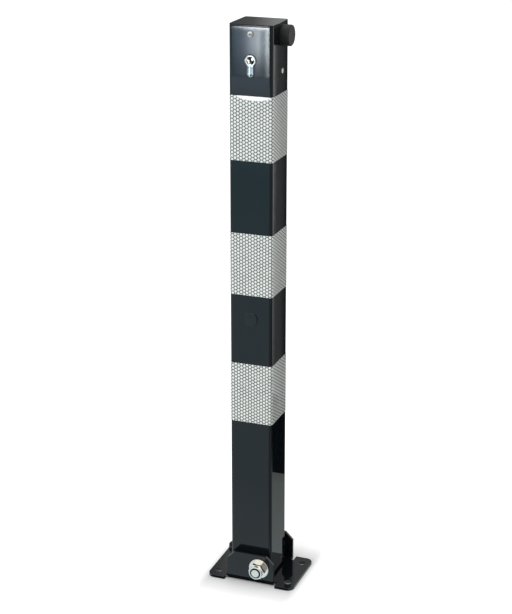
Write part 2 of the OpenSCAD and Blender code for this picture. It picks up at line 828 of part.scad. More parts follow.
module cylinder_plug() {
    face_y = cyl_y0 + slip;
    color("#d9c27a") difference() {
        union() {
            bar_y(post_x, plug_z, face_y, face_y + rim_t, rim_d);
            bar_y(post_x, plug_z, face_y, slot_y0 + clip_gap, plug_d);
            bar_y(post_x, plug_z, face_y, cam_y1, seat_d);
            bar_y(post_x, plug_z, face_y, cyl_y1 - end_wall - slip, journal_d);
        }
        translate([post_x, 0, plug_z]) along_y(cyl_y0 - past, face_y + keyway_l) keyway();
        for (i = [0:pin_count - 1])
            translate([post_x, pin_y(i), plug_z - plug_d])
                cylinder(d = pin_d + 2 * snug, h = plug_d - pin_d / 3);
    }
}

// A ring on the plug's seat with one finger, drawn up and to the left
module cylinder_cam() {
    color("#9a9ea2") along_y(cam_y0, cam_y1) translate([post_x, plug_z]) difference() {
        union() {
            circle(ring_r);
            rotate(180 - cam_angle) {
                translate([0, -tip_r]) square([cam_reach, finger_w]);
                translate([cam_reach, 0]) circle(tip_r);
            }
        }
        circle(d = seat_d + 2 * snug);
    }
}

// A spring clip on the plug, between the body and the cam, open at the top
module plug_clip() {
    y0 = slot_y0 + clip_gap + snug;
    color("#85898d") along_y(y0, y0 + clip_t) translate([post_x, plug_z]) difference() {
        circle(ring_r - slip);
        circle(d = seat_d + 2 * snug);
        polygon([[0, 0], [-cyl_d / 2, cyl_d], [cyl_d / 2, cyl_d]]);
    }
}

// The upper pins, cut to length so that all stacks part at the plug's edge
module key_pins() {
    z0 = plug_z - plug_d / 2 + slip;
    tip = pin_d / 3;
    body_l = plug_d / 2 - slip - keyway_h / 4 - tip;
    color("#c8a24a") for (i = [0:pin_count - 1])
        translate([post_x, pin_y(i), z0]) {
            cylinder(d = pin_d, h = body_l, $fn = 24);
            translate([0, 0, body_l]) cylinder(d1 = pin_d, d2 = pin_d / 2, h = tip, $fn = 24);
        }
}

module lock_rod() {
    color("#aeb2b6") difference() {
        union() {
            translate([rod_x, rod_y, rod_z0])
                cylinder(d1 = rod_d - 2 * lead_in, d2 = rod_d, h = lead_in);
            translate([rod_x, rod_y, rod_z0 + lead_in])
                cylinder(d = rod_d, h = follower_z0 - snug - rod_z0 - lead_in);
            translate([rod_x, rod_y, rod_z0 + lead_in])
                cylinder(d = spigot_d, h = follower_z0 + spigot_l - slip - rod_z0 - lead_in);
        }
        bar_x(rod_y, follower_z0 + spigot_l / 2, rod_x - rod_d, rod_x + rod_d,
            cross_pin_d + 2 * snug);
        bar_x(rod_y, collar_z0 + rod_collar_h / 2, rod_x - rod_d, rod_x + rod_d,
            cross_pin_d + 2 * snug);
    }
}

// A block on the rod's upper end. The cam's finger works in its slot, which flares to the mouth.
module rod_follower() {
    color("#9ea3a8") difference() {
        along_y(rod_y - follower_d / 2, rod_y + follower_d / 2) difference() {
            translate([follower_x0, follower_z0])
                square([follower_x1 - follower_x0, follower_z1 - follower_z0]);
            translate([post_x - cam_swing_r - 2 * slip, slot_z - slot_half])
                square([cam_swing_r, 2 * slot_half]);
            polygon([
                [flare_x, slot_z - slot_half], [follower_x1, slot_z - flare_half],
                [follower_x1 + past, slot_z - flare_half], [follower_x1 + past, slot_z + flare_half],
                [follower_x1, slot_z + flare_half], [flare_x, slot_z + slot_half]
            ]);
        }
        translate([rod_x, rod_y, follower_z0 - past])
            cylinder(d = spigot_d + 2 * snug, h = spigot_l + past);
        bar_x(rod_y, follower_z0 + spigot_l / 2, follower_x0 - past, follower_x1 + past,
            cross_pin_d + 2 * snug);
    }
}

module follower_pin() {
    color("#85898d")
        bar_x(rod_y, follower_z0 + spigot_l / 2, follower_x0, follower_x1, cross_pin_d);
}

module rod_collar() {
    color("#9ea3a8") difference() {
        translate([rod_x, rod_y, collar_z0]) cylinder(d = rod_collar_d, h = rod_collar_h);
        translate([rod_x, rod_y, collar_z0 - past])
            cylinder(d = rod_d + 2 * snug, h = rod_collar_h + 2 * past);
        bar_x(rod_y, collar_z0 + rod_collar_h / 2, rod_x - rod_collar_d, rod_x + rod_collar_d,
            cross_pin_d + 2 * snug);
    }
}

module collar_pin() {
    half = rod_collar_d / 2 - lead_in;
    color("#85898d")
        bar_x(rod_y, collar_z0 + rod_collar_h / 2, rod_x - half, rod_x + half, cross_pin_d);
}

module rod_spring() {
    color("#7d8185") translate([rod_x, rod_y, 0])
        coil(spring_d, wire_d, guide_low_top + snug, collar_z0 - snug, spring_turns, 20, 8);
}

base_bracket();
keeper_block();
pivot_bolt();
pivot_nut();
nut_insert();
washer_front();
washer_rear();
spacer_front();
spacer_rear();
post_tube();
pivot_sleeve();
tape_band_upper();
tape_band_middle();
tape_band_lower();
top_cap();
cap_screw();
lock_carrier();
cylinder_body();
cylinder_screw();
driver_pins();
pin_springs();
buffer();
buffer_stud();
buffer_nut();
blanking_plug();
guide_upper();
guide_lower();
cylinder_plug();
cylinder_cam();
plug_clip();
key_pins();
lock_rod();
rod_follower();
follower_pin();
rod_collar();
collar_pin();
rod_spring();
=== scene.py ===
import math
from contextlib import contextmanager

import bmesh
import bpy
import numpy as np
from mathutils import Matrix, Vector

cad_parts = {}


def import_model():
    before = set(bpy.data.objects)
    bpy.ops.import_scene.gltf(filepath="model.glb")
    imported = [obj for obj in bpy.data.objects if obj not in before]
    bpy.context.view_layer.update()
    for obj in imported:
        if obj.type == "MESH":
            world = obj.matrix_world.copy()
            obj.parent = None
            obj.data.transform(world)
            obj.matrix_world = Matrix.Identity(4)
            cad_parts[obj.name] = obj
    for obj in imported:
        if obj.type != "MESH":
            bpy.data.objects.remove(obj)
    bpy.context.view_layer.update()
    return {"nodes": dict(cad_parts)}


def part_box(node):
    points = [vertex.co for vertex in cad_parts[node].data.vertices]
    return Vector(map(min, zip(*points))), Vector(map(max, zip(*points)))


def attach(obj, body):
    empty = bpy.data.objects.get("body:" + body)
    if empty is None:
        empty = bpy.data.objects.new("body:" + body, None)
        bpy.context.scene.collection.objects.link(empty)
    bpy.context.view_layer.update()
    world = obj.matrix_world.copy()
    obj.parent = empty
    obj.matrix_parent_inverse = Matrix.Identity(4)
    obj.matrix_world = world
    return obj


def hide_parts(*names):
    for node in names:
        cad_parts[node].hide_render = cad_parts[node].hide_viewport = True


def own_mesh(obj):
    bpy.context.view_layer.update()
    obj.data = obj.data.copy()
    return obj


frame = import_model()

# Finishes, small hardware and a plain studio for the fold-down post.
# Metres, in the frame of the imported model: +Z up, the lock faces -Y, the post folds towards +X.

MM = 0.001
MERGE = 1e-6
UNCOUNTED = 1e6
WHITE = (1.0, 1.0, 1.0, 1.0)


# Places and sizes read from the frame

def box_of(node):
    """A node's box: its low corner, its high corner and its middle."""
    low, high = (np.array(corner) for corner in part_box(node))
    return low, high, (low + high) / 2


def centre_of(node):
    """The middle of a node's box."""
    return box_of(node)[2]


# Surfaces

def grid_quads(rows, columns, close_rows=False, close_columns=True):
    """Quads of a grid of points. Each joins point (i, j) to its neighbours (i, j+1), (i+1, j+1) and
    (i+1, j); a closed direction joins its last line to its first."""
    i = np.arange(rows if close_rows else rows - 1)[:, None]
    j = np.arange(columns if close_columns else columns - 1)[None, :]
    below, beside = (i + 1) % rows, (j + 1) % columns
    corners = [i * columns + j, i * columns + beside, below * columns + beside, below * columns + j]
    return np.stack(np.broadcast_arrays(*corners), axis=-1).reshape(-1, 4)


def rounded(corners, radii, steps=6):
    """A profile with its corners rounded. Each corner P becomes the curve (1-s)^2 A + 2s(1-s) P
    + s^2 B, where A and B lie the corner's radius away from P along its two sides."""
    points = np.array(corners, float)
    reach = np.array(radii, float)[:, None]
    before = np.roll(points, 1, axis=0)
    after = np.roll(points, -1, axis=0)
    before[0], after[-1] = points[0], points[-1]
    to_before, to_after = before - points, after - points
    length_before = np.maximum(np.linalg.norm(to_before, axis=1, keepdims=True), MERGE)
    length_after = np.maximum(np.linalg.norm(to_after, axis=1, keepdims=True), MERGE)
    start = (points + to_before / length_before * reach)[:, None]
    end = (points + to_after / length_after * reach)[:, None]
    s = np.linspace(0, 1, steps)[None, :, None]
    curve = (1 - s) ** 2 * start + 2 * s * (1 - s) * points[:, None] + s ** 2 * end
    return curve.reshape(-1, 2)


def axis_frame(direction):
    """Two unit vectors square to a direction along X, Y or Z, and the direction itself."""
    w = np.array(direction, float)
    u = np.roll(np.abs(w), 1)
    return u, np.cross(w, u), w


def turned(profile, origin, direction, columns=96, across_flats=None, sink=None):
    """A profile of (radius r, height h) turned about an axis through origin. The point at angle a
    is origin + r cos a U + r sin a V + h W. With across_flats, r is cut to a hexagon: at most
    flats / 2 / cos(angle from the nearest flat's middle). sink(x, y) lowers h at a point."""
    profile = np.array(profile, float)
    angle = np.linspace(0, 2 * np.pi, columns, endpoint=False)[None, :]
    radius = profile[:, :1] * np.ones_like(angle)
    height = profile[:, 1:] * np.ones_like(angle)
    if across_flats:
        from_flat = (angle + np.pi / 6) % (np.pi / 3) - np.pi / 6
        radius = np.minimum(radius, across_flats / 2 / np.cos(from_flat))
    x, y = radius * np.cos(angle), radius * np.sin(angle)
    if sink is not None:
        height = height - sink(x, y, height)
    u, v, w = axis_frame(direction)
    points = np.array(origin) + x[..., None] * u + y[..., None] * v + height[..., None] * w
    return points.reshape(-1, 3), grid_quads(len(profile), columns)


def coil(centre, wire, mean, low, high, turns, steps=48, sides=14):
    """A wire bent to a coil about Z. Its middle line is at radius mean / 2 and rises with the turn
    t: one closed turn at each end, evenly open turns between. Round it runs a circle of the
    wire's radius, spanned by the outward direction and the direction square to the wire."""
    closed = 1.1 * wire
    opened = (high - low - wire - 2 * closed) / (turns - 2)
    t = np.linspace(0, turns, int(turns * steps) + 1)
    rise = np.interp(t, [0, 1, turns - 1, turns],
                     [0, closed, closed + (turns - 2) * opened, 2 * closed + (turns - 2) * opened])
    angle = 2 * np.pi * t
    outward = np.stack([np.cos(angle), np.sin(angle), np.zeros_like(t)], axis=1)
    line = outward * mean / 2 + np.stack([0 * t, 0 * t, low + wire / 2 + rise], axis=1)
    along = np.gradient(line, axis=0)
    along /= np.linalg.norm(along, axis=1, keepdims=True)
    square = np.cross(along, outward)
    side = np.linspace(0, 2 * np.pi, sides, endpoint=False)[None, :, None]
    ring = np.cos(side) * outward[:, None] + np.sin(side) * square[:, None]
    points = np.array([centre[0], centre[1], 0]) + line[:, None] + ring * wire / 2
    ends = np.stack([line[0], line[-1]]) + np.array([centre[0], centre[1], 0])
    points = np.concatenate([np.repeat(ends[:1, None], sides, axis=1), points,
                             np.repeat(ends[1:, None], sides, axis=1)])
    return points.reshape(-1, 3), grid_quads(len(points), sides)


# Pieces

@contextmanager
def merged(mesh):
    """Opens a mesh to edit it, with its doubled points merged, and closes it again."""
    shell = bmesh.new()
    shell.from_mesh(mesh)
    bmesh.ops.remove_doubles(shell, verts=shell.verts, dist=MERGE)
    yield shell
    shell.to_mesh(mesh)
    shell.free()


def placed(name, data):
    """An object in the scene with the given mesh, lamp or camera."""
    thing = bpy.data.objects.new(name, data)
    bpy.context.scene.collection.objects.link(thing)
    return thing


def finish_mesh(name, points, faces, uv=None, sharp=35):
    """A mesh object from points and faces: doubles merged, faces turned outwards, smooth but for
    edges over the sharp angle."""
    mesh = bpy.data.meshes.new(name)
    mesh.from_pydata(points.tolist(), [], faces)
    if uv is not None:
        corner_points = np.zeros(len(mesh.loops), np.int32)
        mesh.loops.foreach_get("vertex_index", corner_points)
        mesh.uv_layers.new(name="surface").data.foreach_set("uv", uv[corner_points].ravel())
    with merged(mesh) as shell:
        bmesh.ops.recalc_face_normals(shell, faces=shell.faces)
    mesh.shade_smooth()
    mesh.set_sharp_from_angle(angle=math.radians(sharp))
    return placed(name, mesh)


def joined(*surfaces):
    """Several surfaces as one: their points in a row, and their faces numbered on."""
    starts = np.cumsum([0] + [len(points) for points, _ in surfaces[:-1]])
    quads = np.concatenate([quads + start for (_, quads), start in zip(surfaces, starts)])
    return np.concatenate([points for points, _ in surfaces]), quads.tolist()


def end_faces(rows, columns, start=0):
    """The two faces that close the ends of a strip whose rows are closed."""
    first = start + np.arange(rows) * columns
    return [first.tolist(), (first + columns - 1).tolist()]


def turned_piece(name, *shape, sharp=35, **kind):
    """A piece that is one turned profile."""
    points, quads = turned(*shape, **kind)
    return finish_mesh(name, points, quads.tolist(), sharp=sharp)


def keep_flat(piece):
    """Lets the large faces set the normals at their edges, so that they mirror as flat ones do."""
    flat = piece.modifiers.new("flat_faces", "WEIGHTED_NORMAL")
    flat.weight = 100
    flat.keep_sharp = True
    return piece


def softened(name, node, width, segments=3, edge_material=-1):
    """A merged copy of a node's mesh with its edges broken by a small round, which may take the
    piece's second material."""
    mesh = frame["nodes"][node].data.copy()
    mesh.materials.clear()
    if "custom_normal" in mesh.attributes:
        mesh.attributes.remove(mesh.attributes["custom_normal"])
    with merged(mesh) as shell:
        bmesh.ops.dissolve_limit(shell, angle_limit=math.radians(0.2), verts=shell.verts,
                                 edges=shell.edges)
    mesh.shade_smooth()
    piece = placed(name, mesh)
    edges = piece.modifiers.new("broken_edges", "BEVEL")
    edges.width = width
    edges.segments = segments
    edges.limit_method = "ANGLE"
    edges.angle_limit = math.radians(30)
    edges.use_clamp_overlap = False
    edges.material = edge_material
    return keep_flat(piece)


def fit(piece, nodes, body, slot, *materials):
    """The piece stands for the nodes, rides on the body and takes the materials."""
    for material in materials:
        piece.data.materials.append(material)
    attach(piece, body)
    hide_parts(*nodes)
    return piece


def finish_node(node, material):
    """A CAD node keeps its shape and takes the material."""
    holder = frame["nodes"][node]
    holder.data.materials.clear()
    holder.data.materials.append(material)


# Materials

def linear(colour):
    """An sRGB hex colour as linear red, green, blue and 1."""
    srgb = np.array([int(colour[i:i + 2], 16) for i in (1, 3, 5)]) / 255
    rgb = np.where(srgb <= 0.04045, srgb / 12.92, ((srgb + 0.055) / 1.055) ** 2.4)
    return (*rgb.tolist(), 1.0)


def add(tree, kind, settings=None, *inputs, out=0):
    """Adds a node and returns one of its outputs. In the settings, a key in small letters is a
    property of the node and any other is an input. More inputs may follow in the node's order.
    An input takes a value or another node's output."""
    node = tree.nodes.new("ShaderNode" + kind)
    for key, value in {**(settings or {}), **dict(enumerate(inputs))}.items():
        if isinstance(key, str) and key.islower():
            setattr(node, key, value)
        elif isinstance(value, bpy.types.NodeSocket):
            tree.links.new(value, node.inputs[key])
        else:
            node.inputs[key].default_value = value
    return node.outputs[out] if node.outputs else None


def new_material(name, settings):
    """A material with one Principled shader, its settings, and the object's own coordinates."""
    made = bpy.data.materials.new(name)
    made.use_nodes = True
    tree = made.node_tree
    shader = tree.nodes["Principled BSDF"]
    for key, value in settings.items():
        shader.inputs[key].default_value = value
    return made, tree, shader, add(tree, "TexCoord", out="Object")


def shaded(tree, share, dark, light):
    """A colour between two hex colours."""
    return add(tree, "Mix", {"data_type": "RGBA", 6: linear(dark), 7: linear(light)}, share, out=2)


def ramp(tree, value, low, high, stops):
    """A colour that runs through stops along a range, out of black at its low end and on to white
    at its high end where no stop lies there. The stops may be brighter than 1."""
    share = add(tree, "MapRange", {}, value, low, high, 0.0, 1.0)
    colour = add(tree, "ValToRGB", {}, share)
    for at, shade in stops:
        stop = colour.node.color_ramp.elements.new((at - low) / (high - low))
        stop.color = (*shade, 1.0)
    return colour


def greys(stops):
    """Stops given as (place, grey), with the grey as a colour."""
    return [(at, (grey, grey, grey)) for at, grey in stops]


def coloured(tree, shader, share, dark, light):
    """The shader's colour lies between two hex colours."""
    tree.links.new(shaded(tree, share, dark, light), shader.inputs["Base Color"])


def roughened(tree, shader, pattern, low, high, start=0.3, end=0.7):
    """The shader's roughness follows a pattern. The noise's own range is about 0.3 to 0.7."""
    rough = add(tree, "MapRange", {}, pattern, start, end, low, high)
    tree.links.new(rough, shader.inputs["Roughness"])


def bumped(tree, shader, height, depth, strength=1.0):
    """Lays a height pattern of the given depth, in metres, over the shader's surface."""
    bump = add(tree, "Bump", {"Strength": strength, "Distance": depth, "Height": height})
    tree.links.new(bump, shader.inputs["Normal"])


def clouded(tree, shader, place, colour=None, rough=None, bump=None):
    """Lays clouds of noise over a shader. Each is given by its size in metres, its detail and what
    it runs between: two hex colours, two roughnesses, or for the bump its depth in metres."""
    for lay, given in ((coloured, colour), (roughened, rough), (bumped, bump)):
        if given:
            size, detail, *ends = given
            cloud = add(tree, "TexNoise", {"Scale": 1 / size, "Detail": detail}, place)
            lay(tree, shader, cloud, *ends)


def powder_coat():
    """Polyester powder coat in anthracite, sprayed and baked: a glossy, nearly black blue-grey
    skin that flows out smooth, with a very slight orange peel of about 4 mm."""
    made, tree, shader, place = new_material(
        "powder_coat_anthracite", {"IOR": 1.5, "Specular IOR Level": 0.5})
    clouded(tree, shader, place, (60 * MM, 3, "#0c1013", "#12171a"), (9 * MM, 4, 0.018, 0.032),
            (4 * MM, 1, 0.002 * MM))
    return made


def zinc_plate():
    """Steel with a bright zinc plate under a clear passivation: pale silver, slightly cloudy."""
    made, tree, shader, place = new_material("zinc_plated_steel", {"Metallic": 1.0})
    cloud = add(tree, "TexNoise", {"Scale": 1 / (4 * MM), "Detail": 5, "Roughness": 0.6}, place)
    coloured(tree, shader, cloud, "#efece4", "#fffbf2")
    clouded(tree, shader, place, None, (1.5 * MM, 4, 0.08, 0.18), (0.8 * MM, 2, 0.003 * MM))
    return made


def nickel_plate():
    """Brass with a bright nickel plate: warm silver, very slightly clouded by handling."""
    made, tree, shader, place = new_material("nickel_plated_brass", {"Metallic": 1.0})
    clouded(tree, shader, place, (3 * MM, 4, "#e2ddd4", "#f8f4ec"), (1 * MM, 4, 0.07, 0.14),
            (1 * MM, 2, 0.001 * MM))
    return made


def spot(tree, place, centre, radii, turn=0.0, edge=0.25):
    """1 inside an ellipse in the X-Z plane and 0 outside: the distance from its centre, with each
    axis divided by its radius, passes 1 over a soft edge. The depth Y does not count."""
    within = add(tree, "Mapping", {
        "vector_type": "TEXTURE", "Location": (centre[0], 0, centre[2]),
        "Rotation": (0, turn, 0), "Scale": (radii[0], UNCOUNTED, radii[1])}, place)
    off = add(tree, "VectorMath", {"operation": "LENGTH"}, within, out="Value")
    return add(tree, "MapRange", {}, off, 1 + edge, 1 - edge, 0.0, 1.0)


def lock_face():
    """The front of the cylinder's body: nickel plate on the ring, while the web below is painted
    grey as shade, with a painted highlight down it and painted shade on its left and its end."""
    made, tree, shader, place = new_material("nickel_plated_face", {"Metallic": 1.0})
    plug = centre_of("cylinder_plug")
    web = plug - [0, 0, 15.5 * MM]
    # Painted shade and a painted highlight on the web; the ring keeps the nickel's own colour
    ring = spot(tree, place, plug, (8.7 * MM, 8.7 * MM), edge=0.03)
    painted_highlight = spot(tree, place, web - [1.5 * MM, 0, 0], (1.0 * MM, 8.0 * MM))
    left = spot(tree, place, web - [3.1 * MM, 0, 0], (0.8 * MM, 9.0 * MM))
    end = spot(tree, place, web - [0, 0, 6.3 * MM], (3.6 * MM, 1.5 * MM))
    painted_shade = add(tree, "Math", {"operation": "MAXIMUM"}, left, end)
    shaded_web = shaded(tree, painted_shade, "#a9acae", "#2c2e30")
    marked = add(tree, "Mix", {"data_type": "RGBA", 6: shaded_web, 7: WHITE}, painted_highlight, out=2)
    face = add(tree, "Mix", {"data_type": "RGBA", 6: marked, 7: linear("#f0ede6")}, ring, out=2)
    tree.links.new(face, shader.inputs["Base Color"])
    clouded(tree, shader, place, None, (1 * MM, 4, 0.1, 0.2))
    return made


def plug_face():
    """The front of the plug: nickel painted dark as shade, with painted highlights by the keyway,
    at its foot and round the rim.
    """
    made, tree, shader, place = new_material("nickel_painted_light_and_shade", {"Metallic": 1.0})
    middle = centre_of("cylinder_plug")
    # Painted highlights on the plug face: two by the keyway, one at its foot, and the rim round it
    upper = spot(tree, place, middle + [3.7 * MM, 0, 2.7 * MM], (2.0 * MM, 2.6 * MM), 0.6)
    lower = spot(tree, place, middle + [-2.6 * MM, 0, -1.6 * MM], (1.2 * MM, 5.0 * MM), -0.45)
    foot = spot(tree, place, middle + [0, 0, -5.2 * MM], (2.0 * MM, 1.4 * MM))
    inside = spot(tree, place, middle, (6.3 * MM, 6.3 * MM), edge=0.04)
    rim = add(tree, "Math", {"operation": "SUBTRACT"}, 1.0, inside)
    painted_glints = add(tree, "Math", {"operation": "MAXIMUM"},
               add(tree, "Math", {"operation": "MAXIMUM"}, upper, lower),
               add(tree, "Math", {"operation": "MAXIMUM"}, foot, rim))
    coloured(tree, shader, painted_glints, "#222320", "#ece9e2")
    roughened(tree, shader, painted_glints, 0.22, 0.12, 0, 1)
    return made


def screw_face():
    """The two screws' nickel plate, blasted to an even white. Painted shade fills the cap screw's
    recess and the rim of the lock's screw, which is sunk in the side face."""
    made, tree, shader, place = new_material("nickel_blasted", {"Metallic": 1.0})
    # Painted shade in the cap screw's recess and round the rim of the lock's sunk screw
    recess = spot(tree, place, centre_of("cap_screw"), (1.1 * MM, 1.1 * MM), edge=0.4)
    middle = centre_of("cylinder_screw")
    out = add(tree, "VectorMath", {"operation": "SUBTRACT"}, place, tuple(middle))
    across = add(tree, "VectorMath", {"operation": "MULTIPLY"}, out, (0.0, 1.0, 1.0))
    off = add(tree, "VectorMath", {"operation": "LENGTH"}, across, out="Value")
    height = add(tree, "SeparateXYZ", {}, place, out="Z")
    lower = add(tree, "Math", {"operation": "LESS_THAN"}, height, middle[2] + 20 * MM)
    rim = add(tree, "Math", {"operation": "MULTIPLY"},
              add(tree, "MapRange", {}, off, 3.4 * MM, 3.8 * MM, 0.0, 1.0), lower)
    painted_shade = add(tree, "Math", {"operation": "MAXIMUM"}, recess, rim)
    coloured(tree, shader, painted_shade, "#fbf9f5", "#1a1b1c")
    clouded(tree, shader, place, None, (1 * MM, 4, 0.35, 0.5))
    return made


def dark_steel_and_shade():
    """Nearly black steel for the bolt's thread and its chamfered end, and painted shade on the
    spacers beside the post and on the rear washer, which lie in shade."""
    made, tree, shader, place = new_material("dark_steel_and_painted_shade", {"Metallic": 1.0})
    clouded(tree, shader, place, (2 * MM, 4, "#1c1d1d", "#34363a"), (1 * MM, 3, 0.3, 0.5))
    return made


def bright_steel():
    """Drawn and turned steel under a film of oil: mid grey with fine marks round the bar."""
    made, tree, shader, place = new_material("drawn_steel", {"Metallic": 1.0})
    marks = add(tree, "Mapping", {"Scale": (0.15, 0.15, 1.0)}, place)
    clouded(tree, shader, place, (12 * MM, 4, "#85898d", "#b4b8bc"))
    clouded(tree, shader, marks, None, (0.4 * MM, 3, 0.25, 0.45), (0.3 * MM, 2, 0.006 * MM))
    return made


def galvanised_sheet():
    """Hot-dip galvanised sheet, folded: dull silver with a spangle of flat crystals."""
    made, tree, shader, place = new_material("galvanised_sheet", {"Metallic": 1.0})
    crystals = add(tree, "TexVoronoi", {"Scale": 1 / (7 * MM)}, place, out="Color")
    grey, other, _ = add(tree, "SeparateColor", {}, crystals).node.outputs
    coloured(tree, shader, grey, "#8b9094", "#b9bec1")
    roughened(tree, shader, other, 0.35, 0.5, 0, 1)
    clouded(tree, shader, place, bump=(1 * MM, 3, 0.01 * MM))
    return made


def plain_brass():
    """Turned brass, as the pins and their springs are: warm yellow, polished by use."""
    made, tree, shader, place = new_material("turned_brass", {"Metallic": 1.0})
    clouded(tree, shader, place, (2 * MM, 3, "#b08a3c", "#d9b968"), (0.3 * MM, 3, 0.18, 0.32))
    return made


def moulded_rubber():
    """Natural rubber filled with carbon black, pressed in a mould: matt, with a grey bloom."""
    made, tree, shader, place = new_material("moulded_rubber", {"IOR": 1.52})
    bloom = add(tree, "TexNoise", {"Scale": 1 / (6 * MM), "Detail": 5, "Roughness": 0.6}, place)
    coloured(tree, shader, bloom, "#0d0d0c", "#1b1b19")
    roughened(tree, shader, bloom, 0.5, 0.68)
    clouded(tree, shader, place, bump=(0.6 * MM, 4, 0.03 * MM))
    return made


def black_plastic():
    """Black polyamide, injection moulded: a smooth skin with a soft gloss."""
    made, tree, shader, place = new_material("moulded_polyamide", {"IOR": 1.53})
    clouded(tree, shader, place, (5 * MM, 4, "#0c0f11", "#15191c"), (1 * MM, 3, 0.1, 0.16),
            (0.8 * MM, 2, 0.002 * MM))
    return made


CELL_PITCH = 5.5 * MM


def cell_distance(tree, uv, pitch):
    """Distance from the middle of the nearest hexagonal cell, 0.5 at its sides. The cells are
    the nearer of two rectangular lattices of 1 by root 3 cells, shifted by half of each."""
    lattice = (1.0, math.sqrt(3), 1.0)
    half = tuple(side / 2 for side in lattice)
    minus = tuple(-side for side in half)
    place = add(tree, "VectorMath", {"operation": "MULTIPLY"}, uv, (1 / pitch, 1 / pitch, 0.0))
    first = add(tree, "VectorMath", {"operation": "WRAP"}, place, half, minus)
    second = add(tree, "VectorMath", {"operation": "WRAP"},
                 add(tree, "VectorMath", {"operation": "ADD"}, place, half), half, minus)
    nearer = add(tree, "Math", {"operation": "LESS_THAN"},
                 add(tree, "VectorMath", {"operation": "LENGTH"}, first, out="Value"),
                 add(tree, "VectorMath", {"operation": "LENGTH"}, second, out="Value"))
    offset = add(tree, "Mix", {"data_type": "VECTOR", 0: nearer, 4: second, 5: first}, out=1)
    offset = add(tree, "VectorMath", {"operation": "ABSOLUTE"}, offset)
    slanted = add(tree, "VectorMath", {"operation": "DOT_PRODUCT"}, offset,
                  (0.5, math.sqrt(3) / 2, 0.0), out="Value")
    return add(tree, "Math", {"operation": "MAXIMUM"}, add(tree, "SeparateXYZ", {}, offset),
               slanted)


def reflective_tape():
    """Encapsulated bead sheeting: white cells sealed under a clear glossy film by a grey net of
    welds. The map runs up the band, then round it, in metres. A painted highlight, a white patch
    of glare, lies at the top of the upper band's front."""
    made, tree, shader, place = new_material("reflective_sheeting", {
        "IOR": 1.45, "Roughness": 0.8, "Specular IOR Level": 0.3, "Coat Weight": 1.0,
        "Coat Roughness": 0.06, "Coat IOR": 1.49})
    surface = add(tree, "UVMap", {"uv_map": "surface"})
    net = add(tree, "MapRange", {}, cell_distance(tree, surface, CELL_PITCH), 0.32, 0.42, 0.0, 1.0)
    cloud = add(tree, "TexNoise", {"Scale": 1 / (14 * MM), "Detail": 4}, place)
    cells = shaded(tree, cloud, "#cdd1ce", "#e3e6e2")
    welds = shaded(tree, cloud, "#414948", "#5c6564")
    low, high, _ = box_of("tape_band_upper")
    # Painted highlight: a white patch of glare at the top of the upper band's front
    painted_glare = spot(tree, place, (low[0] + 40 * MM, 0, high[2]), (27 * MM, 6 * MM), edge=0.12)
    front = add(tree, "Math", {"operation": "LESS_THAN"},
                add(tree, "SeparateXYZ", {}, place, out=1), 0.0)
    glare_mask = add(tree, "Math", {"operation": "MULTIPLY"}, painted_glare, front)
    netted = add(tree, "Mix", {"data_type": "RGBA", 6: cells, 7: welds}, net, out=2)
    film = add(tree, "Mix", {"data_type": "RGBA", 6: netted, 7: WHITE}, glare_mask, out=2)
    tree.links.new(film, shader.inputs["Base Color"])
    sunk = add(tree, "Math", {"operation": "MULTIPLY"}, net, -1.0)
    bumped(tree, shader, sunk, 0.05 * MM, 0.6)
    return made


COAT = powder_coat()
ZINC = zinc_plate()
NICKEL = nickel_plate()
LOCK_FACE = lock_face()
PLUG_FACE = plug_face()
DARK_STEEL_AND_SHADE = dark_steel_and_shade()
SCREW = screw_face()
STEEL = bright_steel()
SHEET = galvanised_sheet()
BRASS = plain_brass()
RUBBER = moulded_rubber()
PLASTIC = black_plastic()
TAPE = reflective_tape()


# Coated steelwork: the shapes stay, and their cut edges get the round that the coat gives them

fit(softened("floor_bracket", "base_bracket", 0.6 * MM), ["base_bracket"], "base", "coat", COAT)
fit(softened("rod_keeper", "keeper_block", 0.5 * MM), ["keeper_block"], "base", "coat", COAT)
fit(softened("square_post", "post_tube", 0.3 * MM), ["post_tube"], "post", "coat", COAT)
fit(softened("cap_plate", "top_cap", 0.5 * MM), ["top_cap"], "post", "coat", COAT)


# Reflective bands

# The post's outer corner radius, and the tape's thickness, open seam and edge round
POST_R = 5 * MM
TAPE_T = 0.4 * MM
TAPE_SEAM = 0.8 * MM
TAPE_EDGE = 0.15 * MM


def band_outline(half, corner, out, seam, straight=14, bend=10):
    """Points round a square with round corners, from one side of the seam in the rear face to the
    other, each moved out along its normal, with its distance along the way. Each quarter is half
    a side, a corner and half a side."""
    reach = half - corner
    flat = np.linspace(0, reach, straight)[:-1]
    angle = np.linspace(0, np.pi / 2, bend)
    quarter = np.concatenate([
        np.stack([flat, np.full_like(flat, half)], axis=1),
        np.stack([reach + corner * np.sin(angle), reach + corner * np.cos(angle)], axis=1),
        np.stack([np.full_like(flat, half), flat[::-1]], axis=1)])
    normal = np.concatenate([
        np.tile([0.0, 1.0], (len(flat), 1)),
        np.stack([np.sin(angle), np.cos(angle)], axis=1),
        np.tile([1.0, 0.0], (len(flat), 1))])
    turns = [np.array([[math.cos(a), -math.sin(a)], [math.sin(a), math.cos(a)]])
             for a in (-np.pi / 2 * i for i in range(4))]
    points = np.concatenate([(quarter @ turn.T)[:-1] for turn in turns])
    normals = np.concatenate([(normal @ turn.T)[:-1] for turn in turns])
    points = np.concatenate([points, points[:1]])
    normals = np.concatenate([normals, normals[:1]])
    points[0, 0], points[-1, 0] = seam / 2, -seam / 2
    steps = np.linalg.norm(np.diff(points + normals * out, axis=0), axis=1)
    return points, normals, np.concatenate([[0], np.cumsum(steps)])


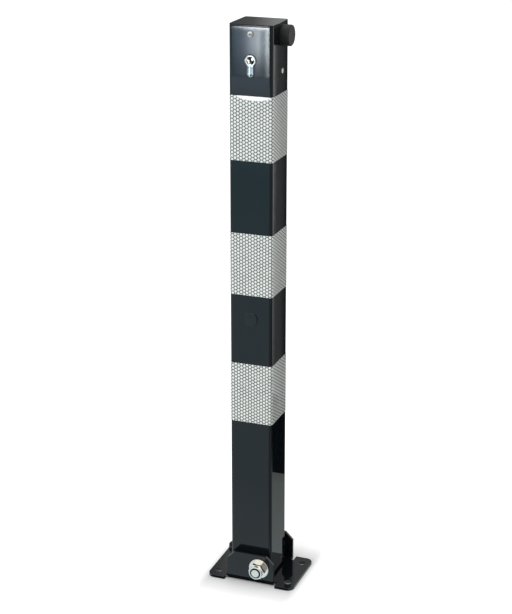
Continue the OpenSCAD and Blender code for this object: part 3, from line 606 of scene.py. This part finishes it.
def tape_band(name, node):
    """A band of tape: the section of the sheet, a thin upright strip with round edges, carried
    round the post's outline. Its map runs up the band and round it."""
    low, high, centre = box_of(node)
    inner = (high - low)[0] / 2 - TAPE_T
    points, normals, way = band_outline(inner, POST_R, TAPE_T, TAPE_SEAM)
    strip = rounded([(0, low[2]), (TAPE_T, low[2]), (TAPE_T, high[2]), (0, high[2])],
                    [0, TAPE_EDGE, TAPE_EDGE, 0], 4)
    out, height = strip[:, 0], strip[:, 1]
    ring = points[None] + normals[None] * out[:, None, None] + centre[None, None, :2]
    grid = np.concatenate([ring, np.broadcast_to(height[:, None, None], ring[..., :1].shape)],
                          axis=2)
    rows, columns = grid.shape[:2]
    uv = np.stack(np.broadcast_arrays(height[:, None], way[None, :]), axis=2)
    faces = grid_quads(rows, columns, close_rows=True, close_columns=False).tolist()
    faces += end_faces(rows, columns)
    piece = keep_flat(finish_mesh(name, grid.reshape(-1, 3), faces, uv.reshape(-1, 2)))
    fit(piece, [node], "post", "tape", TAPE)


for place in ("upper", "middle", "lower"):
    tape_band(f"band_{place}", f"tape_band_{place}")


# Bolt, nut and washers on the pivot

# M16 sizes, which the boxes of the nodes do not give
BOLT_D = 16 * MM
BOLT_HEAD = 10 * MM
BOLT_SHY = 1.2 * MM  # the bolt's end stands this much less out of the nut than in the CAD
BOLT_CHAMFER = 1.5 * MM
THREAD_PITCH = 2 * MM
THREAD_DEPTH = 1.1 * MM
THREAD_L = 38 * MM
HEX = 24 * MM
COLLAR = 4.5 * MM
COLLAR_R = 11.25 * MM
WASHER_BORE = 17 * MM


def hex_profile(low, high, flats):
    """The outer profile of a hexagon between two heights, with its corners turned off at both
    ends by a cone that rises half as far as it reaches in."""
    out = np.linspace(0, 0.08 * flats, 7)
    return [(flats / 2 + o, low + o / 2) for o in out] + \
           [(flats / 2 + o, high - o / 2) for o in out[::-1]]


def pivot_bolt():
    """A hexagon bolt with a rolled thread. In the threaded stretch the radius falls by the
    thread's depth and rises again once in each pitch along a line, and once in each turn round
    the bolt. The groove runs out over the last pitch."""
    low, high, centre = box_of("pivot_bolt")
    low[1] += BOLT_SHY
    length = high[1] - low[1]
    columns = 64
    rows_per_pitch = 10
    pitches = int((THREAD_L - BOLT_CHAMFER) / THREAD_PITCH)
    rows = np.linspace(BOLT_CHAMFER, THREAD_L, pitches * rows_per_pitch + 1)
    angle = np.linspace(0, 2 * np.pi, columns, endpoint=False)[None, :]
    phase = (rows[:, None] / THREAD_PITCH + angle / (2 * np.pi)) % 1.0
    depth = THREAD_DEPTH * np.clip(1.15 - np.abs(2 * phase - 1) * 1.3, 0, 1)
    fade = np.clip((THREAD_L - rows) / THREAD_PITCH, 0, 1)[:, None]
    end = [(0, 0), (BOLT_D / 2 - BOLT_CHAMFER, 0)]
    shank = [(BOLT_D / 2, row) for row in rows] + [(BOLT_D / 2, length - BOLT_HEAD)]
    head = hex_profile(length - BOLT_HEAD, length, HEX) + [(0, length)]
    points, quads = turned(end + shank + head, (centre[0], low[1], centre[2]), (0, 1, 0),
                           columns, HEX)
    start = len(end) * columns
    threaded = points[start:start + rows.size * columns].reshape(rows.size, columns, 3)
    axis = np.array([centre[0], 0, centre[2]])
    outward = threaded * [1, 0, 1] - axis
    outward /= np.linalg.norm(outward, axis=2, keepdims=True)
    threaded -= outward * (depth * fade)[..., None]
    piece = finish_mesh("cross_bolt", points, quads.tolist(), sharp=25)
    middles = np.zeros((len(piece.data.polygons), 3))
    piece.data.polygons.foreach_get("center", middles.ravel())
    off_axis = np.hypot(middles[:, 0] - centre[0], middles[:, 2] - centre[2])
    dark = (off_axis > BOLT_D / 2 - BOLT_CHAMFER) & (middles[:, 1] < low[1] + THREAD_L)
    piece.data.polygons.foreach_set("material_index", dark.astype(np.int32))
    return piece


def lock_nut():
    """A hexagon below, a round collar above, whose lip is rolled in over the plastic ring."""
    low, high, centre = box_of("pivot_nut")
    height = high[1] - low[1]
    body = height - COLLAR
    ring_r = BOLT_D / 2 + 2 * MM
    roll_r, roll_h = ring_r - 1 * MM, height - 1 * MM
    outer = hex_profile(0, body, HEX)
    lip = rounded([(COLLAR_R + 0.4 * MM, body), (COLLAR_R, body + 0.8 * MM), (COLLAR_R, height),
                   (roll_r, height), (roll_r, roll_h), (ring_r, roll_h), (ring_r, body)],
                  [0, 0.5 * MM, 1.1 * MM, 0.35 * MM, 0.1 * MM, 0, 0])
    bore = [(BOLT_D / 2, body), (BOLT_D / 2, 0), (HEX / 2, 0)]
    profile = np.concatenate([outer, lip, bore])
    return turned_piece("lock_nut", profile, (centre[0], high[1], centre[2]), (0, -1, 0), 96, HEX,
                        sharp=30)


def nut_ring():
    """The nut's plastic ring, bulged a little where the bolt has cut through it."""
    low, high, centre = box_of("nut_insert")
    outer = (high - low)[0] / 2
    deep = high[1] - low[1]
    inner = BOLT_D / 2 + 0.05 * MM
    profile = rounded([(inner, 0), (outer, 0), (outer, deep), (inner, deep)],
                      [0, 0, 0.3 * MM, 0.8 * MM])
    profile = np.concatenate([profile, profile[:1]])
    return turned_piece("nut_ring", profile, (centre[0], high[1], centre[2]), (0, -1, 0), 64)


def washer(name, node):
    """A stamped ring: its edges are rounded on the face that the punch entered."""
    low, high, centre = box_of(node)
    outer, deep = (high - low)[0] / 2, high[1] - low[1]
    inner = WASHER_BORE / 2
    profile = rounded([(inner, 0), (outer, 0), (outer, deep), (inner, deep)],
                      [0.3 * MM, 0.3 * MM, 0.8 * MM, 0.5 * MM])
    profile = np.concatenate([profile, profile[:1]])
    facing = -1 if centre[1] < 0 else 1
    start = high[1] if facing < 0 else low[1]
    return turned_piece(name, profile, (centre[0], start, centre[2]), (0, facing, 0))


fit(pivot_bolt(), ["pivot_bolt"], "base", "zinc", ZINC, DARK_STEEL_AND_SHADE)
fit(lock_nut(), ["pivot_nut"], "base", "zinc", ZINC)
fit(nut_ring(), ["nut_insert"], "base", "plastic", PLASTIC)
fit(washer("washer_lock_side", "washer_front"), ["washer_front"], "base", "zinc", ZINC)
# Painted shade: the rear washer and the spacers take the dark steel, as they lie in shade
fit(washer("washer_head_side", "washer_rear"), ["washer_rear"], "base", "zinc", DARK_STEEL_AND_SHADE)
for name, node in (("spacer_lock_side", "spacer_front"), ("spacer_head_side", "spacer_rear")):
    fit(softened(name, node, 0.4 * MM), [node], "base", "zinc", DARK_STEEL_AND_SHADE)
fit(softened("bolt_sleeve", "pivot_sleeve", 0.4 * MM), ["pivot_sleeve"], "post", "zinc", ZINC)


# Head: screws, lock, buffer

RECESS_W = 1.1 * MM
SCREW_HEAD_H = 2.8 * MM
SCREW_R = 2.5 * MM


def cross_recess(width, reach, depth):
    """How far a cross recess sinks the head's top at (x, y): the depth within two bars of the
    given width, falling off over a third of it, and less towards the bars' ends."""
    def sink(x, y, height):
        across = np.minimum(np.abs(x), np.abs(y))
        inside = np.clip((width / 2 - across) / (width / 3) + 0.5, 0, 1)
        end = np.clip((reach - np.hypot(x, y)) / (width * 0.8), 0, 1)
        return depth * inside * end * (height > height.max() - 1.4 * depth)
    return sink


def round_screw():
    """A round-headed screw: a quarter ellipse for the head, a cross recess, and a plain shank."""
    low, high, centre = box_of("cap_screw")
    head_r, length = (high - low)[0] / 2, (high - low)[1]
    rim = 0.5 * MM
    t = np.linspace(0, np.pi / 2, 22)
    dome = np.stack([head_r * np.sin(t), rim + (SCREW_HEAD_H - rim) * np.cos(t)], axis=1)
    end = SCREW_HEAD_H - length
    shank = [(head_r, 0), (SCREW_R, 0), (SCREW_R, end + SCREW_R / 2), (SCREW_R / 2, end), (0, end)]
    profile = np.concatenate([dome, shank])
    origin = (centre[0], low[1] + SCREW_HEAD_H, centre[2])
    return turned_piece("head_screw", profile, origin, (0, -1, 0),
                        sink=cross_recess(RECESS_W, 2.9 * MM, 1.3 * MM))


def flat_screw():
    """A countersunk screw: a flat head with a cross recess over a cone and a plain shank."""
    low, high, centre = box_of("cylinder_screw")
    head_r, length = (high - low)[1] / 2, (high - low)[0]
    shank_r = head_r / 2
    t = np.linspace(0, 1, 20)[:, None]
    top = t * [head_r - 0.2 * MM, 0]
    shank = [(head_r, -0.2 * MM), (shank_r, -shank_r), (shank_r, 1 * MM - length),
             (shank_r - 1 * MM, -length), (0, -length)]
    profile = np.concatenate([top, shank])
    return turned_piece("lock_screw", profile, (high[0], centre[1], centre[2]), (1, 0, 0),
                        sink=cross_recess(RECESS_W, 2.8 * MM, 1.1 * MM))


PLATE_PLAY = 0.05 * MM


def rubber_buffer():
    """A moulded disc: flat back with a recess for the stud's plate, straight barrel, round edge
    and a face that dishes in a little."""
    low, high, centre = box_of("buffer")
    radius, deep = (high - low)[2] / 2, (high - low)[0]
    plate_r, plate_t = 10 * MM + PLATE_PLAY, 2 * MM + PLATE_PLAY
    dish, dish_r = 0.5 * MM, radius - 4 * MM
    edge = rounded([(0, plate_t), (plate_r, plate_t), (plate_r, 0), (radius, 0), (radius, deep),
                    (dish_r, deep)],
                   [0, 0.3 * MM, 0.3 * MM, 0.4 * MM, 2 * MM, 0.5 * MM], 8)
    t = np.linspace(1, 0, 12)[1:, None]
    face = np.concatenate([t * dish_r, deep - dish * (1 - t ** 2)], axis=1)
    profile = np.concatenate([edge, face])
    return turned_piece("rubber_buffer", profile, (low[0], centre[1], centre[2]), (1, 0, 0))


fit(round_screw(), ["cap_screw"], "post", "nickel", SCREW)
fit(flat_screw(), ["cylinder_screw"], "post", "nickel", SCREW)
fit(rubber_buffer(), ["buffer"], "post", "rubber", RUBBER)
fit(softened("lock_body", "cylinder_body", 0.4 * MM, edge_material=1), ["cylinder_body"], "post",
    "nickel", LOCK_FACE, NICKEL)
fit(softened("lock_plug", "cylinder_plug", 0.3 * MM, edge_material=1), ["cylinder_plug"], "plug",
    "nickel", PLUG_FACE, NICKEL)


def snap_plug():
    """A snap-in plug: a low dome over its rim, as a quarter of a flat ellipse, and inside the
    tube four leaves, each a stretch of the split barrel's wall."""
    low, high, centre = box_of("blanking_plug")
    rim_r = (high - low)[0] / 2
    rim_h = 2 * MM
    shoulder = 1.6 * MM
    sag = 0.35 * MM
    face = low[1] + rim_h
    barrel_r = 9.45 * MM
    wall = 1.4 * MM
    root = -0.1 * MM
    catch, lip = 3.05 * MM, 0.4 * MM
    legs = high[1] - face
    t = np.linspace(0, 1, 16)
    dome = np.stack([(rim_r - shoulder) * t, rim_h - sag * t ** 2], axis=1)
    s = np.linspace(0, np.pi / 2, 9)
    side = np.stack([rim_r - shoulder * (1 - np.sin(s)), (rim_h - sag) * np.cos(s)], axis=1)
    lid = np.concatenate([dome, side, [(rim_r - 0.2 * MM, 0), (0, 0)]])
    surfaces = [turned(lid, (centre[0], face, centre[2]), (0, -1, 0))]
    leaf = np.array([(barrel_r, root), (barrel_r, catch), (barrel_r + lip, catch + lip),
                     (barrel_r - wall / 2, legs), (barrel_r - wall, legs), (barrel_r - wall, root)])
    half_slit = 1 * MM / barrel_r
    sweep = np.linspace(half_slit, np.pi / 2 - half_slit, 14)
    rows, columns = len(leaf), len(sweep)
    ends = []
    for angle in (sweep + quarter * np.pi / 2 for quarter in range(4)):
        radius, height = leaf[:, :1], leaf[:, 1:] * np.ones_like(angle)
        points = np.stack([centre[0] + radius * np.cos(angle), face + height,
                           centre[2] + radius * np.sin(angle)], axis=2)
        ends += end_faces(rows, columns, sum(len(points) for points, _ in surfaces))
        surfaces.append((points.reshape(-1, 3), grid_quads(rows, columns, True, False)))
    points, faces = joined(*surfaces)
    return finish_mesh("snap_plug", points, faces + ends, sharp=40)


fit(snap_plug(), ["blanking_plug"], "post", "plastic", PLASTIC)


# Springs

def rod_spring():
    """The spring that lifts the lock rod. The real one is squeezed towards its upper end as the rod
    drops; here it keeps its shape and rides on the rod.
    """
    low, high, centre = box_of("rod_spring")
    wire = 2 * MM
    points, quads = coil(centre, wire, (high - low)[0] - wire, low[2], high[2], turns=8)
    return finish_mesh("lift_spring", points, quads.tolist())


spring = fit(rod_spring(), ["rod_spring"], "rod", "steel", STEEL)
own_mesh(spring)


# Inner pieces keep their shapes

for node in ("lock_carrier", "guide_upper", "guide_lower"):
    finish_node(node, SHEET)
for node in ("cylinder_cam", "plug_clip", "lock_rod", "rod_follower", "follower_pin",
             "rod_collar", "collar_pin"):
    finish_node(node, STEEL)
for node in ("buffer_stud", "buffer_nut"):
    finish_node(node, ZINC)
for node in ("driver_pins", "pin_springs", "key_pins"):
    finish_node(node, BRASS)


# Studio

# What the camera sees of the floor, by the distance from a box just inside the feet: a painted
# shadow, dark under the part and soft round it, narrower at its sides, and white further off
FOOTPRINT = (0.069, 0.0445, 1.0)
SHADOW_SHAPE = (3.5, 1.0, 1.0)
FLOOR_FADE = 0.3
FLOOR_NEAR = [(0.0, 0.1), (0.003, 0.2), (0.009, 0.28), (0.018, 0.36), (0.027, 0.44),
              (0.039, 0.52), (0.06, 0.7), (0.3, 1.0)]

# What reflections see of the floor, along Y: a glow with painted light and shade, brighter in
# front of the part than behind it
FLOOR_SPAN = (-4.0, 1.0)
FLOOR_SHADES = [(-4.0, (0.95, 1.3, 1.55)), (-3.75, (0.95, 1.2, 1.4)), (-3.4, (0.56, 0.8, 0.95)),
                (-2.4, (0.33, 0.58, 0.68)), (-1.2, (0.50, 0.64, 0.74)), (-0.4, (0.48, 0.60, 0.64)),
                (-0.15, (0.62, 0.74, 0.78)), (-0.05, (0.66, 0.78, 0.84)),
                (0.05, (0.42, 0.47, 0.46)), (0.32, (0.33, 0.37, 0.36)), (0.36, (0.26, 0.29, 0.28))]

# What the head mirrors of the low panel in front, along X: its light up to the level of the lock
# and above it, and the bright line on top
PANEL_SPAN = (-1.62, -1.42)
PANEL_RISE = (0.01, 0.15)
LINE_RISE = (0.1985, 0.2072)
PANEL_TOP = (0.4, 0.5, 0.5, 1.0)
LOW_LIGHT = [(-1.612, (0.45, 0.7, 0.95)), (-1.585, (0.9, 1.2, 1.6)), (-1.567, (1.0, 1.35, 1.7)),
             (-1.53, (1.3, 1.6, 1.9)), (-1.489, (1.8, 2.2, 2.5)), (-1.481, (1.5, 1.9, 2.2)),
             (-1.461, (1.0, 1.3, 1.5)), (-1.452, (3.0, 3.3, 3.5)), (-1.441, (7.0, 7.6, 8.0)),
             (-1.4385, (0.3, 0.5, 0.7))]
HIGH_LIGHT = [(-1.612, (0.7, 1.0, 1.2)), (-1.585, (1.5, 2.1, 2.6)), (-1.567, (1.9, 2.3, 3.0)),
              (-1.545, (3.0, 3.7, 4.5)), (-1.531, (5.0, 5.7, 6.8)), (-1.514, (7.0, 8.0, 9.0)),
              (-1.496, (8.3, 9.3, 10.2)), (-1.489, (11.5, 12.5, 13.5)),
              (-1.485, (11.0, 12.0, 13.0)), (-1.481, (7.0, 8.0, 8.8)),
              (-1.4695, (4.6, 5.7, 6.4)), (-1.461, (5.2, 6.2, 6.9)), (-1.456, (8.0, 9.4, 10.0)),
              (-1.452, (13.0, 14.4, 15.0)), (-1.4477, (14.2, 15.6, 16.1)),
              (-1.441, (14.0, 15.4, 16.0)), (-1.4385, (0.4, 0.6, 0.8))]
LINE_LIGHT = [(-1.59, (8.0, 9.0, 10.0)), (-1.535, (24.0, 25.0, 26.0)),
              (-1.441, (28.0, 29.0, 29.5)), (-1.4385, (0.4, 0.6, 0.8))]

# What the side face mirrors of the floor behind, from its rear edge (0) to its front edge (1).
# The ramp's own white end, past the last stop, lights the edge of the front corner
SIDE_SLOPES = (0.3546, 0.3645)
SIDE_STRIPES = [(0.0, (0.02, 0.02, 0.02)), (0.10, (0.05, 0.05, 0.05)), (0.22, (0.08, 0.08, 0.08)),
                (0.34, (0.11, 0.115, 0.115)), (0.50, (0.13, 0.135, 0.135)),
                (0.62, (0.13, 0.135, 0.135)), (0.79, (0.13, 0.135, 0.13)),
                (0.84, (0.24, 0.245, 0.235)), (0.95, (0.22, 0.225, 0.215)),
                (0.98, (0.03, 0.04, 0.04))]

# What the cap mirrors of the two cards behind, along X
BACK_SPAN = (-4.0, -2.0)
BACK_LIGHT = [(-3.44, 0.17), (-3.26, 0.46)]
HIGH_BACK_LIGHT = [(-3.6, 0.62), (-3.45, 0.04), (-3.12, 0.04), (-3.08, 0.42), (-2.9, 0.42),
                   (-2.6, 0.02)]

# The camera's place, its tilt and turn in degrees, its focal length in mm
VIEW_FROM = (0.8376, -2.2321, 1.3075)
VIEW_TILT = 70.57
VIEW_TURN = 20.76
VIEW_LENS = 93.65

# The point on the floor below the camera's mirror image in the side face, which lies at X 35 mm
FAN_FOOT = (2 * 35 * MM - VIEW_FROM[0], VIEW_FROM[1])


def bare_material(name):
    """A material with no nodes yet, and its tree."""
    made = bpy.data.materials.new(name)
    made.use_nodes = True
    made.node_tree.nodes.clear()
    return made, made.node_tree


def emission(name, strength=1.0):
    """A plain surface with a white glow: the material, its tree and the socket of its colour."""
    made, tree = bare_material(name)
    glow = add(tree, "Emission", {"Color": WHITE, "Strength": strength})
    add(tree, "OutputMaterial", {"Surface": glow})
    return made, tree, glow.node.inputs["Color"]


def square_of(name, corners, material):
    """A flat four-cornered object."""
    mesh = bpy.data.meshes.new(name)
    mesh.from_pydata(corners, [], [(0, 1, 2, 3)])
    mesh.materials.append(material)
    return placed(name, mesh)


def panel(name, corners, material):
    """A flat panel of the studio, seen in reflections alone."""
    card = square_of(name, corners, material)
    card.visible_camera = False
    card.visible_diffuse = False
    card.visible_shadow = False


def lying(name, x0, x1, y0, y1, material):
    """A level panel just above the floor."""
    z = 1 * MM
    panel(name, [(x0, y0, z), (x1, y0, z), (x1, y1, z), (x0, y1, z)], material)


def standing(name, x0, x1, y, z0, z1, material):
    """An upright panel across Y."""
    panel(name, [(x0, y, z0), (x1, y, z0), (x1, y, z1), (x0, y, z1)], material)


def floor_material():
    """A pale floor. The camera sees it white with a painted shadow near the part, reflections see
    it glow a bluish grey, with painted light and shade that differ from place to place, and
    other rays meet plain matt grey."""
    made, tree = bare_material("pale_floor")
    rays = add(tree, "LightPath").node.outputs
    place = add(tree, "TexCoord", out="Object")
    off = add(tree, "VectorMath", {"operation": "ABSOLUTE"}, place)
    off = add(tree, "VectorMath", {"operation": "SUBTRACT"}, off, FOOTPRINT)
    off = add(tree, "VectorMath", {"operation": "MAXIMUM"}, off, (0.0, 0.0, 0.0))
    off = add(tree, "VectorMath", {"operation": "MULTIPLY"}, off, SHADOW_SHAPE)
    away = add(tree, "VectorMath", {"operation": "LENGTH"}, off, out="Value")
    matt = add(tree, "BsdfDiffuse", {"Color": (0.7, 0.7, 0.7, 1)})
    pale = add(tree, "BsdfDiffuse", {"Color": (0.45, 0.45, 0.45, 1)})
    glow = add(tree, "Emission", {
        "Color": WHITE, "Strength": ramp(tree, away, 0, FLOOR_FADE, greys(FLOOR_NEAR))})
    seen = add(tree, "AddShader", {}, pale, glow)
    shade = ramp(tree, add(tree, "SeparateXYZ", {}, place, out="Y"), *FLOOR_SPAN, FLOOR_SHADES)
    mirrored = add(tree, "Emission", {"Strength": 1.0, "Color": shade})
    for_camera = add(tree, "MixShader", {}, rays["Is Camera Ray"], matt, seen)
    for_gloss = add(tree, "MixShader", {}, rays["Is Glossy Ray"], for_camera, mirrored)
    add(tree, "OutputMaterial", {"Surface": for_gloss})
    return made


def floor():
    """A wide square just under the part."""
    half, z = 40.0, -0.3 * MM
    corners = [(-half, -half, z), (half, -half, z), (half, half, z), (-half, half, z)]
    piece = square_of("studio_floor", corners, floor_material())


def world():
    """White to the camera and in reflections, and a dimmer fill elsewhere."""
    sky = bpy.data.worlds.new("studio_white")
    sky.use_nodes = True
    bpy.context.scene.world = sky
    tree = sky.node_tree
    tree.nodes.clear()
    rays = add(tree, "LightPath").node.outputs
    seen = add(tree, "Math", {"operation": "MAXIMUM"}, rays["Is Glossy Ray"],
               rays["Is Transmission Ray"])
    seen = add(tree, "Math", {"operation": "MAXIMUM"}, rays["Is Camera Ray"], seen)
    strength = add(tree, "MapRange", {}, seen, 0, 1, 0.45, 1.0)
    back = add(tree, "Background", {"Color": WHITE, "Strength": strength})
    add(tree, "OutputWorld", {"Surface": back})


def softbox(name, place, aim, size, power):
    """A soft lamp with a square face, turned to a point. Reflections do not see it."""
    lamp = bpy.data.lights.new(name, "AREA")
    lamp.size = size
    lamp.energy = power
    holder = placed(name, lamp)
    holder.location = place
    holder.rotation_euler = (Vector(aim) - Vector(place)).to_track_quat("-Z", "Y").to_euler()
    holder.visible_glossy = False


def front_panel():
    """The panel that the head mirrors: a bluish wall with two upright lamps, brighter above the
    level of the lock, and a thin bright line under a dark top."""
    made, tree, colour = emission("low_panel")
    place = add(tree, "TexCoord", out="Object")
    across, _, up = add(tree, "SeparateXYZ", {}, place).node.outputs
    low_light, high_light, line = (ramp(tree, across, *PANEL_SPAN, light)
                                   for light in (LOW_LIGHT, HIGH_LIGHT, LINE_LIGHT))
    rise = add(tree, "MapRange", {"interpolation_type": "SMOOTHSTEP"}, up, *PANEL_RISE, 0.0, 1.0)
    over_wall = add(tree, "Math", {"operation": "GREATER_THAN"}, up, LINE_RISE[0])
    over_line = add(tree, "Math", {"operation": "GREATER_THAN"}, up, LINE_RISE[1])
    lit = add(tree, "Mix", {"data_type": "RGBA", 6: low_light, 7: high_light}, rise, out=2)
    lit = add(tree, "Mix", {"data_type": "RGBA", 6: lit, 7: line}, over_wall, out=2)
    lit = add(tree, "Mix", {"data_type": "RGBA", 6: lit, 7: PANEL_TOP}, over_line, out=2)
    tree.links.new(lit, colour)
    standing("front_panel", -2.2, -1.3, -4, 0, 1.2, made)


def sideways(name, stops):
    """A glowing grey whose strength runs through stops along X."""
    made, tree, colour = emission(name)
    along = add(tree, "SeparateXYZ", {}, add(tree, "TexCoord", out="Object"))
    tree.links.new(ramp(tree, along, *BACK_SPAN, greys(stops)), colour)
    return made


def striped_floor():
    """Stripes that fan out on the floor from FAN_FOOT. Their place is the slope, X over Y, from
    there, because each upright line of the side face mirrors one such slope."""
    made, tree, colour = emission("striped_flag")
    x, y, _ = add(tree, "SeparateXYZ", {}, add(tree, "TexCoord", out="Object")).node.outputs
    slope = add(tree, "Math", {"operation": "DIVIDE"},
                add(tree, "Math", {"operation": "SUBTRACT"}, x, FAN_FOOT[0]),
                add(tree, "Math", {"operation": "SUBTRACT"}, y, FAN_FOOT[1]))
    part = add(tree, "MapRange", {}, slope, *SIDE_SLOPES, 0.0, 1.0)
    tree.links.new(ramp(tree, part, 0.0, 1.0, SIDE_STRIPES), colour)
    return made


def flags():
    """Cards round the part, which its side face, cap, feet, fold and round corners mirror."""
    dark = emission("dark_flag", 0.0)[0]
    lying("behind_flag", 0.1, 30, 0.36, 0.72, dark)
    lying("beside_flag", 0.45, 30, 0.03, 0.36, dark)
    # bend_flag is painted shade: a dark strip before the wall, which the fold mirrors as the
    # floor's shadow
    lying("bend_flag", -0.07, 0.07, -0.064, -0.044, dark)
    lying("left_flag", -3, -0.2, 0.02, 1.4, dark)
    stripes = striped_floor()
    lying("striped_floor", 0.1, 30, 0.72, 9, stripes)
    standing("striped_card", 2, 30, 8.9, 0, 3.6, stripes)
    grey = emission("grey_flag", 0.25)[0]
    panel("right_card", [(2, -6, 0), (2, 0, 0), (2, 0, 4), (2, -6, 4)], grey)
    lying("right_flag", 0.085, 2, -6, 0.03, grey)
    standing("back_card", -9, 9, 9, 0, 3.6, sideways("back_flag", BACK_LIGHT))
    standing("high_card", -9, 9, 9, 3.6, 8, sideways("high_flag", HIGH_BACK_LIGHT))


def camera():
    """The photograph's view: a long lens, a little above the cap, from the front right."""
    lens = bpy.data.cameras.new("view")
    lens.lens = VIEW_LENS
    lens.sensor_width = 36.0
    lens.clip_end = 200
    holder = placed("view", lens)
    holder.location = VIEW_FROM
    holder.rotation_euler = (math.radians(VIEW_TILT), 0, math.radians(VIEW_TURN))
    bpy.context.scene.camera = holder


floor()
world()
softbox("key_lamp", (-0.9, -3.0, 1.7), (0, 0, 0.45), 1.8, 80)
softbox("fill_lamp", (2.6, -0.4, 1.8), (0, 0, 0.45), 1.6, 15)
softbox("top_lamp", (0.0, 0.6, 3.2), (0, 0, 0.3), 1.6, 15)
front_panel()
flags()
camera()
bpy.context.scene.view_settings.view_transform = "Standard"
